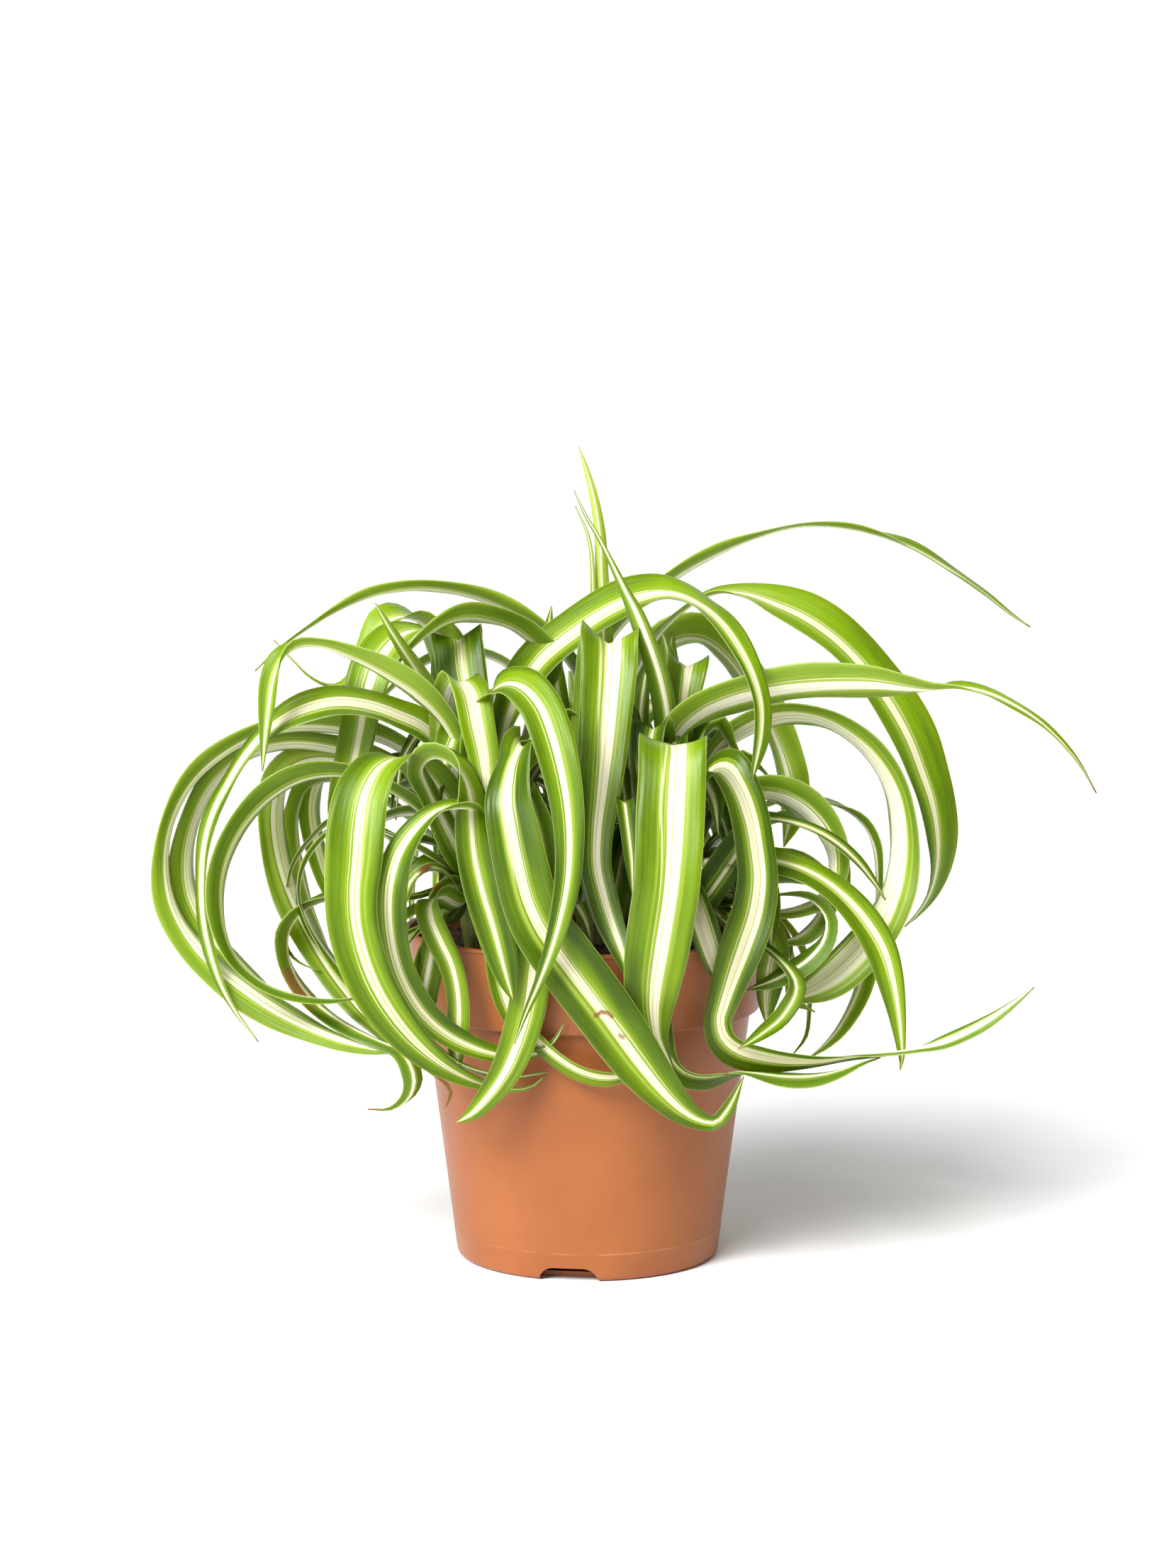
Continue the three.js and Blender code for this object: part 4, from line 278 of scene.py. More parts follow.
    [118.4, 226.3, -45, 8, -75], [130.3, 218, -45, 5, -72], [138, 211.8, -45, 2.5, -72],
    [144.5, 207.5, -45, 0.8, -72]]],
  ['great_right_arch', 'centre', 22, [[5, 155, -26, 14, -110], [12, 185, -29, 16, -105],
    [22, 204, -28, 15, -100], [33, 214.8, -24, 12, -95], [42, 219.2, -22, 11, -85],
    [52, 219, -20, 14, -65], [62, 216, -18, 17, -50], [71.5, 211.8, -16, 18, -45],
    [81.4, 205, -14, 18, -42], [91, 195.5, -12, 18.5, -40], [101, 182, -10, 18.5, -38],
    [106.8, 171.4, -9, 18.5, -38], [111, 160.5, -8, 18, -38], [114.3, 150.3, -7, 17, -40],
    [116.2, 139.3, -6, 15, -45], [115.8, 128.2, -5, 12, -58], [113, 119, -4, 8, -65],
    [109, 113, -4, 4.5, -70], [104.5, 108.4, -4, 1, -70]]],
  ['rear_ring', 'centre', 26, [[8, 150, -30, 14, -110], [16, 185, -38, 17, -120],
    [26, 203, -40, 18, -125], [37, 205.5, -40, 18, -125], [47, 198.5, -39, 18, -125],
    [54.5, 188, -38, 17.5, -125], [60.5, 177, -36, 16, -130], [65, 166, -34, 15, -135],
    [67.5, 155, -32, 14, -140], [67, 144, -30, 10, -140], [64.5, 135, -28, 3, -140]]],
  ['tall_spear', 'centre', 32, [[5, 160, -18, 8, 180], [5.5, 195, -22, 7, 180], [4.6, 225, -26, 4.6, 180],
    [4, 238, -28, 4, 180], [2, 250, -30, 3, 180], [-0.5, 259, -31, 1.8, 180],
    [-3, 266.3, -32, 0.8, 180]]],
  ['thin_spear', 'centre', 30, [[0, 160, -16, 5, 180], [1.5, 200, -22, 3, 180], [1.6, 226, -25, 1.6, 180],
    [0.2, 237, -26, 1.2, 180], [-4, 246.8, -27, 0.8, 180]]],
  ['long_left_arch', 'centre', 30, [[2, 160, -18, 12, 100], [-1, 188, -22, 14, 106],
    [-12, 203.9, -24, 14, 109], [-25, 213.2, -24, 13.5, 109], [-40, 218.9, -24, 12.5, 109],
    [-55, 220.8, -24, 12, 109], [-70, 218.4, -24, 9.4, 108], [-82, 213.2, -24, 6.2, 107],
    [-92, 207, -24, 4.4, 105], [-99.5, 201.6, -24, 3, 102], [-104.2, 197.6, -24, 1.8, 98],
    [-108.8, 193.1, -24, 0.8, 95]]],
  ['cream_arch', 'left', 28, [[-25, 155, -12, 12, 105], [-17, 182, -14, 14, 110],
    [-13.5, 197, -15, 15, 114], [-21.5, 206.8, -12, 15.5, 117], [-33, 211, -3, 15, 117],
    [-44, 210.6, 10, 12.5, 114], [-52, 206, 16, 10, 108], [-59.4, 199.2, 19, 7, 100],
    [-64.5, 191.5, 20, 2.5, 95]]],
  ['hidden_arch', 'centre', 26, [[-12, 160, -30, 12, 105], [-20, 188, -38, 14, 105],
    [-30, 197.5, -40, 14, 100], [-44, 199, -42, 14, 98], [-56, 194.5, -43, 13, 95],
    [-66, 186, -43, 11, 92], [-74, 176, -43, 8, 92], [-80, 168, -43, 2, 92]]],
  ['low_centre', 'centre', 24, [[-3, 114, 20, 5, -40], [-4, 116, 32, 5, -20], [-1, 110.5, 40, 4, -10],
    [1.3, 103, 43, 0.8, 0]]],
  ['behind_tip', 'centre', 30, [[-6, 160, -26, 6, 0], [-10, 190, -32, 6, 0], [-12.8, 204, -32, 5, 0],
    [-11.8, 214.4, -32, 0.8, 0]]],
]

# Leaves that arch backward: direction in degrees from +X, height and distance out
# of the top of the arch, distance out and height of the tip, width, sideways drift.
backLeaves = [
    [88, 186, 40, 104, 92, 16, 10],
    [62, 176, 44, 98, 84, 15, -14],
    [118, 180, 44, 100, 78, 17, 14],
    [38, 158, 46, 88, 92, 14, 12],
    [144, 162, 46, 90, 88, 15, -12],
    [74, 142, 40, 74, 60, 13, 8],
    [105, 146, 42, 80, 52, 14, -8],
    [20, 140, 44, 70, 100, 11, 8],
    [160, 142, 44, 72, 98, 12, 10],
    [92, 160, 36, 62, 104, 12, -10],
    [50, 134, 38, 66, 76, 12, -6],
    [130, 130, 38, 68, 70, 12, 6],
]


def newMesh(name, vertices, polygons):
    mesh = bpy.data.meshes.new(name)
    mesh.from_pydata(vertices, [], polygons)
    return mesh


def placed(name, data):
    made = bpy.data.objects.new(name, data)
    bpy.context.scene.collection.objects.link(made)
    return made


def linear(red, green, blue):
    # sRGB bytes to the linear colour that shader sockets take.
    def channel(byte):
        value = byte / 255
        return value / 12.92 if value <= 0.04045 else ((value + 0.055) / 1.055) ** 2.4
    return (channel(red), channel(green), channel(blue), 1)


class Field:
    # A value inside a shader, with arithmetic that adds the nodes it needs.
    def __init__(self, graph, socket):
        self.graph = graph
        self.socket = socket

    def math(self, operation, other=None, clamp=False):
        given = {0: self} if other is None else {0: self, 1: other}
        settings = {"operation": operation, "use_clamp": clamp}
        return self.graph.node("ShaderNodeMath", settings, given)

    def __add__(self, other):
        return self.math("ADD", other)

    def __radd__(self, other):
        return self.math("ADD", other)

    def __sub__(self, other):
        return self.math("SUBTRACT", other)

    def __rsub__(self, other):
        return self.math("MULTIPLY", -1).math("ADD", other)

    def __mul__(self, other):
        return self.math("MULTIPLY", other)

    def __rmul__(self, other):
        return self.math("MULTIPLY", other)

    def size(self):
        return self.math("ABSOLUTE")

    def between(self, low, high):
        # 0 below low, 1 above high, smooth in the middle.
        return self.graph.node(
            "ShaderNodeMapRange",
            {"interpolation_type": "SMOOTHSTEP"},
            {"Value": self, "From Min": low, "From Max": high},
        )


class Graph:
    # A material's node tree, with one method for any node.
    def __init__(self, name):
        self.material = bpy.data.materials.new(name)
        self.material.use_nodes = True
        self.tree = self.material.node_tree
        self.surface = next(n for n in self.tree.nodes if n.type == "BSDF_PRINCIPLED")

    def node(self, kind, settings, given, output=0):
        made = self.tree.nodes.new(kind)
        for key, value in settings.items():
            setattr(made, key, value)
        for key, value in given.items():
            self.feed(made.inputs[key], value)
        return Field(self, made.outputs[output])

    def feed(self, socket, value):
        if isinstance(value, Field):
            self.tree.links.new(value.socket, socket)
        else:
            socket.default_value = value

    def attribute(self, name):
        return self.node("ShaderNodeAttribute", {"attribute_name": name}, {}, "Fac")

    def position(self):
        return self.node("ShaderNodeTexCoord", {}, {}, "Object")

    def parts(self, vector):
        axes = self.tree.nodes.new("ShaderNodeSeparateXYZ")
        self.feed(axes.inputs[0], vector)
        return [Field(self, output) for output in axes.outputs]

    def combine(self, x, y, z):
        return self.node("ShaderNodeCombineXYZ", {}, {0: x, 1: y, 2: z})

    def noise(self, vector, scale, detail=2.0, roughness=0.5):
        return self.node(
            "ShaderNodeTexNoise",
            {},
            {"Vector": vector, "Scale": scale, "Detail": detail, "Roughness": roughness},
            "Fac",
        )

    def vector(self, operation, first, second, output=0):
        return self.node(
            "ShaderNodeVectorMath", {"operation": operation}, {0: first, 1: second}, output
        )

    def distance(self, start, end):
        # How far the surface is from the line between two places, with little weight on depth.
        start = start * frontWeight
        line = end * frontWeight - start
        place = self.vector("MULTIPLY", self.position(), tuple(frontWeight))
        offset = self.vector("SUBTRACT", place, tuple(start))
        share = self.vector("DOT_PRODUCT", offset, tuple(line / line.dot(line)), 1)
        nearest = self.node(
            "ShaderNodeVectorMath",
            {"operation": "SCALE"},
            {0: tuple(line), "Scale": share.math("MAXIMUM", 0).math("MINIMUM", 1)},
        )
        return self.vector("DISTANCE", offset, nearest, 1)

    def mix(self, share, before, after):
        made = self.tree.nodes.new("ShaderNodeMix")
        made.data_type = "RGBA"
        self.feed(made.inputs[0], share)
        self.feed(made.inputs[6], before)
        self.feed(made.inputs[7], after)
        return Field(self, made.outputs[2])

    def bump(self, height, strength, distance):
        return self.node(
            "ShaderNodeBump", {}, {"Height": height, "Strength": strength, "Distance": distance}
        )

    def set(self, **values):
        for key, value in values.items():
            self.feed(self.surface.inputs[key.replace("_", " ")], value)


leafLook = {
    "upper": {
        "deep": linear(48, 72, 0),
        "green": linear(110, 140, 6),
        "lime": linear(150, 166, 70),
        "cream": linear(226, 220, 184),
        "roughness": 0.35,
    },
    "under": {
        "deep": linear(72, 100, 14),
        "green": linear(120, 146, 40),
        "lime": linear(166, 178, 84),
        "cream": linear(240, 238, 212),
        "roughness": 0.42,
    },
    "base": linear(184, 188, 126),
    "dry": linear(120, 78, 40),
    # The pale rim colour: partly the rim's own paler colour, partly a painted highlight where light catches
    # the edge.
    "edge": linear(176, 186, 116),
    "veins": 0.12,
    "veinDepth": 0.0006,
    "glow": 0.4,
    "glowReach": (0.004, 0.005, 0.0015),
    "glowScale": 0.5,
    "sheen": 0.24,
}
# Noise over a blade: its pace across, along and from leaf to leaf, and its detail. The
# first is a slow drift, and the next two are streaks and hairlines along the blade.
bladeNoise = {
    "slow": (1, 1.2, 62, 2),
    "streak": (8, 0.12, 57, 2),
    "hair": (18, 0.2, 13, 2),
    "swell": (0, 1.1, 91, 1),
    "mottle": (1.3, 2.4, 17, 3),
    "crinkle": (5, 8, 7, 3),
}
# How the cream stripe lies and how sharply each part of the pattern begins, in shares
# of the half blade, the noise or the blade's first 100 mm.
stripe = {
    "drift": 0.3,
    "swell": 1.5,
    "least": 0.25,
    "ragged": 0.2,
    "echoOut": 0.22,
    "cream": (-0.015, 0.035),
    "band": (0.06, 0.34),
    "line": (0.45, 0.56),
    "oneSide": (0, 0.004),
    "echo": (0.008, 0.03),
    "hairline": (0.52, 0.6),
    "outer": (0.35, 0.9),
    "rimLineAndHighlight": (0.965, 0.995),
    "root": (0.02, 0.3),
    "toGreen": (-0.15, 0.95),
    "toLime": (0.7, 1.5),
    "wither": (-0.02, 0.03),
}
# How strongly each thing lightens the green, and how fully each color is laid on.
lighten = {"slow": 0.9, "hair": 0.3, "streak": 0.3, "mottle": 1.1, "band": 0.4, "outer": -0.3}
laidOn = {"lime": 0.7, "line": 0.75, "echo": 0.5, "hairline": 0.7, "rimLineAndHighlight": 0.5, "root": 0.8}
# Veins, hairlines and crinkles in the relief, and how many veins there are.
relief = {"veins": 0.2, "hair": 0.9, "crinkle": 2.5, "veinPace": 42}

# Leaves whose stripes stand out in the photograph: half width of the cream stripe as a
# share of the half blade, and how light the green is, from 0 to 1.
stripes = {
    "great_front": [0.17, 0.35],
    "widest_front": [0.17, 0.55],
    "wide_front_fall": [0.12, 0.55],
    "centre_fall": [0.2, 0.35],
    "right_front": [0.32, 0.35],
    "dark_ring": [0.06, 0.1],
    "cross_spear": [0.16, 0.05],
    "broad_fold": [0.1, 0.0],
    "right_ring": [0.42, 0.4],
    "inner_ring": [0.34, 0.35],
    "outer_ring": [0.26, 0.55],
    "second_ring": [0.26, 0.4],
    "great_right_arch": [0.12, 0.5],
    "peak_fold": [0.34, 0.8],
    "light_fall": [0.13, 0.5],
    "turned_ring": [0.4, 0.5],
    "return_leaf": [0.12, 0.05],
    "under_curl": [0.06, 0.0],
    "long_front": [0.16, 0.3],
    "tall_spear": [0.07, 0.9],
    "thin_spear": [0.05, 0.8],
    "over_arch": [0.14, 0.4],
    "heart_fold": [0.14, 0.1],
    "heart_dark": [0.08, 0.0],
    "pale_drop": [0.5, 0.2],
}
commonStripe = (0.1, 0.24)
commonLight = (0.1, 0.7)

# Brown blemishes on single leaves, each drawn along a line of stations [x, z, toward]
# as in the leaf rows: half width in mm, strength, stations. Depth counts for a fifth.
frontWeight = np.array([1.0, 0.2, 1.0])
blemishes = [
    [0.7, 0.9, [[2.6, 78.4, 69], [4.4, 79.6, 69], [6.6, 79.4, 69], [8, 78, 69]]],
    [0.8, 0.7, [[10.8, 71.7, 68], [11.8, 71.2, 68]]],
    [1.3, 0.95, [[-99.4, 94.2, 19.5], [-97.2, 89.6, 21], [-93.6, 85, 22]]],
    [2.2, 0.35, [[-97, 91, 20], [-91.6, 83, 22]]],
    [2.2, 1.0, [[-53, 126.5, 27], [-50.5, 123, 27]]],
    [0.8, 0.9, [[44.9, 63.3, 54], [46.4, 61.6, 54], [45.7, 59.4, 54]]],
    [0.5, 0.7, [[40.2, 61.8, 55], [40.9, 60.2, 55]]],
]


def leafMaterial(name, look):
    graph = Graph(name)
    across, along, _ = graph.parts(graph.node("ShaderNodeUVMap", {"uv_map": "leafUV"}, {}))
    across = across * 2 - 1
    seed = graph.attribute("leafSeed")
    side = seed - 0.5
    noises = {}
    for key, (pace, run, apart, detail) in bladeNoise.items():
        place = graph.combine(across * pace, along * run, seed * apart)
        noises[key] = graph.noise(place, 1.0, detail)
    slow, streak, hair, swell = (noises[key] for key in ("slow", "streak", "hair", "swell"))
    offset = (across + side * stripe["drift"] + (slow - 0.5) * stripe["drift"]).size()
    edge = graph.attribute("creamShare") * (swell * stripe["swell"] + stripe["least"])
    edge = edge + (streak - 0.5) * stripe["ragged"]
    creamPart = 1 - (offset - edge).between(*stripe["cream"])
    bandPart = 1 - (offset - edge).between(*stripe["band"])
    linePart = (streak * 0.5 + hair * 0.5).between(*stripe["line"])
    # A thin second cream line on one side of the stripe.
    oneSide = (across * side).between(*stripe["oneSide"])
    echo = 1 - (offset - edge - swell * stripe["echoOut"]).size().between(*stripe["echo"])
    # The leaf light attribute is each leaf's own tone of green plus a painted highlight that makes the top
    # of the plant paler.
    shade = graph.attribute("leafToneAndTopHighlight") + bandPart * lighten["band"]
    shade = shade + offset.between(*stripe["outer"]) * lighten["outer"]
    for key in ("slow", "hair", "streak", "mottle"):
        shade = shade + (noises[key] - 0.5) * lighten[key]
    # Each row lays a color over those before it.
    layers = [
        (shade.between(*stripe["toLime"]) * laidOn["lime"], look["lime"]),
        (bandPart * linePart * laidOn["line"], look["lime"]),
        (echo * oneSide * laidOn["echo"], look["cream"]),
        (creamPart, look["cream"]),
        (creamPart * hair.between(*stripe["hairline"]) * laidOn["hairline"], look["lime"]),
        # A thin pale line along the blade's rim: partly the rim's own paler colour, partly a painted
        # highlight where light catches the edge.
        (across.size().between(*stripe["rimLineAndHighlight"]) * laidOn["rimLineAndHighlight"], leafLook["edge"]),
        ((1 - along.between(*stripe["root"])) * laidOn["root"], leafLook["base"]),
    ]
    wither = graph.attribute("dryLength") - graph.attribute("fromTip") + (hair - 0.5) * 0.03
    wither = wither.between(*stripe["wither"])
    for reach, strength, stations in blemishes:
        spots = [stationPoint(station) * mm for station in stations]
        for start, end in zip(spots[:-1], spots[1:]):
            away = graph.distance(start, end) + (streak - 0.5) * reach * mm
            mark = (1 - away.between(reach * 0.6 * mm, reach * 1.5 * mm)) * strength
            wither = wither.math("MAXIMUM", mark)
    color = graph.mix(shade.between(*stripe["toGreen"]), look["deep"], look["green"])
    for share, over in [*layers, (wither, leafLook["dry"])]:
        color = graph.mix(share, color, over)
    ridges = (across * relief["veinPace"]).math("SINE") * relief["veins"]
    ridges = ridges + hair * relief["hair"] + noises["crinkle"] * relief["crinkle"]
    graph.set(
        Base_Color=color,
        Roughness=look["roughness"] + (slow - 0.5) * 0.14 + wither * 0.3,
        Normal=graph.bump(ridges, leafLook["veins"], leafLook["veinDepth"]),
        Subsurface_Weight=leafLook["glow"],
        Subsurface_Radius=leafLook["glowReach"],
        Subsurface_Scale=leafLook["glowScale"],
        Specular_IOR_Level=leafLook["sheen"],
    )
    return graph.material


def stationPoint(station):
    x, z, toward = station[:3]
    scale = 1 + toward / eye[1]
    return np.array([eye[0] + (x - eye[0]) * scale, -toward, eye[2] + (z - eye[2]) * scale])


def unit(vector):
    return vector / max(np.linalg.norm(vector), 1e-9)


def perpendicular(vector, axis):
    return unit(vector - axis * np.dot(vector, axis))


class Spine:
    # A centripetal curve through the points, and its even division by length.
    def __init__(self, points):
        points = [np.array(p, float) for p in points]
        ends = [2 * points[0] - points[1], 2 * points[-1] - points[-2]]
        self.points = [ends[0], *points, ends[1]]
        self.spans = len(points) - 1

    def terms(self, k):
        p0, p1, p2, p3 = self.points[k:k + 4]
        pairs = ((p0, p1), (p1, p2), (p2, p3))
        d0, d1, d2 = (max(np.linalg.norm(b - a) ** 0.5, 1e-4) for a, b in pairs)
        m1 = ((p1 - p0) / d0 - (p2 - p0) / (d0 + d1) + (p2 - p1) / d1) * d1
        m2 = ((p2 - p1) / d1 - (p3 - p1) / (d1 + d2) + (p3 - p2) / d2) * d1
        return p1, m1, -3 * p1 + 3 * p2 - 2 * m1 - m2, 2 * p1 - 2 * p2 + m1 + m2

    def at(self, place):
        k = min(int(place), self.spans - 1)
        t = place - k
        c0, c1, c2, c3 = self.terms(k)
        return c0 + c1 * t + c2 * t * t + c3 * t ** 3, unit(c1 + 2 * c2 * t + 3 * c3 * t * t)

    def evenly(self, step):
        fine = np.linspace(0, self.spans, self.spans * 24 + 1)
        where = np.array([self.at(place)[0] for place in fine])
        run = np.concatenate([[0], np.cumsum(np.linalg.norm(np.diff(where, axis=0), axis=1))])
        count = max(int(run[-1] / step), 12)
        lengths = np.linspace(0, run[-1], count + 1)
        return np.interp(lengths, run, fine), lengths


def upperFace(point, tangent, turn):
    sight = perpendicular(eye - point, tangent)
    side = np.cross(tangent, sight)
    angle = math.radians(turn)
    return sight * math.cos(angle) + side * math.sin(angle)


def blendFaces(before, after, t):
    ease = t * t * (3 - 2 * t)
    face = before * (1 - ease) + after * ease
    if np.dot(before, after) < -0.2:
        face = face + np.array([0, 0, 4 * t * (1 - t)])
    return face


blade = {
    "step": 2.6,
    "strips": 10,
    "middleThickness": 0.5,
    "edgeThickness": 0.22,
    "wave": 0.6,
    "waveLength": 7.5,
    "groove": 0.25,
    "grooveWidth": 0.12,
    "fadeIn": 60,
    "fadeOut": 40,
    "notch": 5.5,
    "notchBlade": 20,
    "notchMiddle": 0.45,
    "notchTurn": 0.12,
    "notchStart": 0.35,
    # Painted highlight: from this height in mm the green is painted paler, over this rise, by this much.
    "paintedLightFrom": 150,
    "paintedLightOver": 80,
    "paintedLightGain": 0.45,
}


def soften(values, times):
    for _ in range(times):
        values[1:-1] = (values[:-2] + 2 * values[1:-1] + values[2:]) / 4


def bladePolygons(count):
    # Faces of a blade with so many cross sections, and which of them are its underside.
    strips = blade["strips"]
    row = 2 * (strips + 1)
    polygons, under = [], []

    def add(polygon, material):
        polygons.append(polygon)
        under.append(material)

    for i in range(count - 1):
        here, there = row * i, row * (i + 1)
        for j in range(strips):
            low = strips + 1 + j
            add((here + j, here + j + 1, there + j + 1, there + j), 0)
            add((here + low + 1, here + low, there + low, there + low + 1), 1)
        add((here, there, there + strips + 1, here + strips + 1), 0)
        add((here + strips, here + row - 1, there + row - 1, there + strips), 0)
    end = row * (count - 1)
    top, bottom = list(range(strips + 1)), list(range(strips + 1, row))
    add((*top[::-1], *bottom), 0)
    add((*(end + k for k in top), *(end + k for k in bottom[::-1])), 0)
    return polygons, under


def bladeMesh(name, points, widths, faces, fold, seed, pattern, dryLength):
    # Returns a closed thin blade with both faces, its own map and a few values a leaf.
    rng = random.Random(seed)
    spine = Spine(points)
    places, lengths = spine.evenly(blade["step"])
    total = lengths[-1]
    centres, tangents, ups, wide = [], [], [], []
    knots = np.arange(len(widths))
    for place in places:
        k = min(int(place), spine.spans - 1)
        t = place - k
        centre, tangent = spine.at(place)
        centres.append(centre)
        tangents.append(tangent)
        ups.append(unit(blendFaces(faces[k], faces[k + 1], t)))
        wide.append(np.interp(place, knots, widths))
    ups = np.array(ups)
    wide = np.array(wide)
    soften(ups, 3)
    soften(wide, 3)
    # Where a blade folds over sharply its channel deepens to a V.
    bend = np.zeros(len(places))
    turns = np.linalg.norm(np.diff(np.array(tangents), axis=0), axis=1) / np.diff(lengths)
    sharpness = (turns[:-1] + turns[1:]) / 2 / blade["notchTurn"]
    bend[1:-1] = np.clip(sharpness - blade["notchStart"], 0, 1)
    soften(bend, 2)
    half = math.radians(fold)
    strips = blade["strips"]
    phases = [rng.uniform(0, math.tau) for _ in range(2)]
    vertices, maps = [], []
    for i, centre in enumerate(centres):
        up = perpendicular(ups[i], tangents[i])
        side = np.cross(tangents[i], up)
        radius = wide[i] / (2 * half)
        fade = min(1, lengths[i] / blade["fadeIn"], (total - lengths[i]) / blade["fadeOut"])
        depth = bend[i] * blade["notch"] * wide[i] / blade["notchBlade"]
        for sign in (1, -1):
            for j in range(strips + 1):
                across = 2 * j / strips - 1
                angle = across * half
                lift = radius * (1 - math.cos(angle)) - radius * (1 - math.cos(half)) / 2
                phase = phases[0 if across < 0 else 1]
                wave = math.sin(lengths[i] / blade["waveLength"] + phase)
                lift += blade["wave"] * fade * across ** 4 * wave
                lift -= blade["groove"] * fade * math.exp(-(across / blade["grooveWidth"]) ** 2)
                lift += depth * (abs(across) - blade["notchMiddle"])
                thick = blade["middleThickness"] * (1 - across ** 2)
                thick += blade["edgeThickness"] * across ** 2
                reach = radius * math.sin(angle)
                spot = centre + side * reach + up * (lift + sign * thick / 2)
                vertices.append(tuple(spot * mm))
                maps.append(((across + 1) / 2, lengths[i] / 100))
    polygons, under = bladePolygons(len(centres))
    # Painted highlight: blades are painted paler the higher they stand, standing in for the top of the
    # plant getting more light.
    paintedLightShare = (np.array(vertices)[:, 2] / mm - blade["paintedLightFrom"]) / blade["paintedLightOver"]
    mesh = newMesh(name, vertices, polygons)
    uvs = mesh.uv_layers.new(name="leafUV")
    for loop in mesh.loops:
        uvs.data[loop.index].uv = maps[loop.vertex_index]
    for key, values in {
        "leafSeed": np.full(len(vertices), rng.random()),
        "creamShare": np.full(len(vertices), pattern[0]),
        "leafToneAndTopHighlight": pattern[1] + np.clip(paintedLightShare, 0, 1) * blade["paintedLightGain"],
        "fromTip": np.repeat((total - lengths) / 100, 2 * (strips + 1)),
        "dryLength": np.full(len(vertices), dryLength / 100),
    }.items():
        layer = mesh.attributes.new(key, "FLOAT", "POINT")
        layer.data.foreach_set("value", values.astype(np.float32))
    mesh.polygons.foreach_set("material_index", under)
    mesh.shade_smooth()
    mesh.update()
    return mesh


def addPiece(name, mesh, materials, node):
    piece = placed(name, mesh)
    for material in materials:
        mesh.materials.append(material)
    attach(piece, "root")
    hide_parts(node)
    return piece


# Leaves stand up out of the soil from inside their crown.
root = {"low": 99, "high": 122, "spread": 6.5, "width": 8}
tipWidth = 0.35
# Length of the brown tip in mm, on the leaves that have more or less of it than most.
dryTips = {"dry_tip": 16, "tall_spear": 0.3, "hooked_tail": 4, "level_reach": 4, "front_hook": 3}
commonDryTip = 1.2


def frontLeaf(index, leaf):
    name, crown, fold, stations = leaf
    seen = [stationPoint(station) for station in stations]
    x, y = crowns[crown]
    lean = np.array([seen[0][0] - x, seen[0][1] - y, 0])
    lean = unit(lean) * min(np.linalg.norm(lean), root["spread"])
    foot = np.array([x, y, 0])
    points = [
        foot + lean * 0.5 + [0, 0, root["low"]],
        foot + lean + [0, 0, root["high"]],
        *seen,
    ]
    spine = Spine(points)
    faces = []
    for i, point in enumerate(points):
        station = stations[max(i - 2, 0)]
        faces.append(upperFace(point, spine.at(i)[1], station[4]))
    widths = [station[3] * (1 + station[2] / eye[1]) for station in stations]
    widths[-1] = tipWidth
    start = min(widths[0], root["width"])
    rng = random.Random(900 + index)
    pattern = stripes.get(name, [rng.uniform(*commonStripe), rng.uniform(*commonLight)])
    mesh = bladeMesh(
        "leaf_" + name, points, [start * 0.9, start, *widths], faces, fold, 100 + index,
        pattern, dryTips.get(name, commonDryTip),
    )
    return addPiece("leaf_" + name, mesh, leafMaterials, "crown_" + crown)


arch = {"fold": 24, "widths": (0.5, 0.55, 0.75, 0.95, 1, 0.9, 0.6, 0.03), "sagFrom": 125}


def archLeaf(name, crown, shape, seed, pattern):
    # shape: direction, height and reach of the arch's top, reach and height of the
    # tip, width, sideways drift.
    angle, topHeight, topOut, tipOut, tipHeight, width, drift = shape
    x, y = crowns[crown]
    turn = math.radians(angle)
    out = np.array([math.cos(turn), math.sin(turn), 0])
    across = np.array([-math.sin(turn), math.cos(turn), 0])

    def place(reach, height, side):
        return np.array([x, y, height]) + out * reach + across * side

    climb = topHeight - root["high"]
    sag = (topHeight - arch["sagFrom"]) * 0.12
    points = [
        place(2, root["low"], 0),
        place(5, root["high"] - 6, 0),
        place(topOut * 0.3, root["high"] + climb * 0.5, 0),
        place(topOut * 0.62, root["high"] + climb * 0.9, drift * 0.1),
        place(topOut, topHeight, drift * 0.25),
        place(topOut * 0.55 + tipOut * 0.45, topHeight - sag, drift * 0.45),
        place(topOut * 0.15 + tipOut * 0.85, topHeight * 0.55 + tipHeight * 0.45, drift * 0.7),
        place(tipOut, tipHeight, drift),
    ]
    spine = Spine(points)
    faces = []
    for i in range(len(points)):
        tangent = spine.at(i)[1]
        faces.append(np.cross(tangent, perpendicular(across, tangent)) * -1)
    if np.dot(faces[4], [0, 0, 1]) < 0:
        faces = [-face for face in faces]
    widths = [share * width for share in arch["widths"]]
    mesh = bladeMesh(name, points, widths, faces, arch["fold"], seed, pattern, 0)
    return addPiece(name, mesh, leafMaterials, "crown_" + crown)


# Young leaves in the heart of each crown, which fill it behind the long ones.
young = {
    "perCrown": 17,
    "turn": 14,
    "height": (130, 182),
    "reach": (22, 48),
    "topShare": 0.6,
    "tipDrop": (18, 34),
    "width": (7, 12),
    "drift": 9,
    # Painted shade: young leaves get a darker green than the long ones, standing in for the shade inside
    # the crown.
    "stripe": (0.08, 0.18),
    "light": (-0.1, 0.3),
    "inside": 52,
    "outside": 64,
    "clearHeight": 124,
}


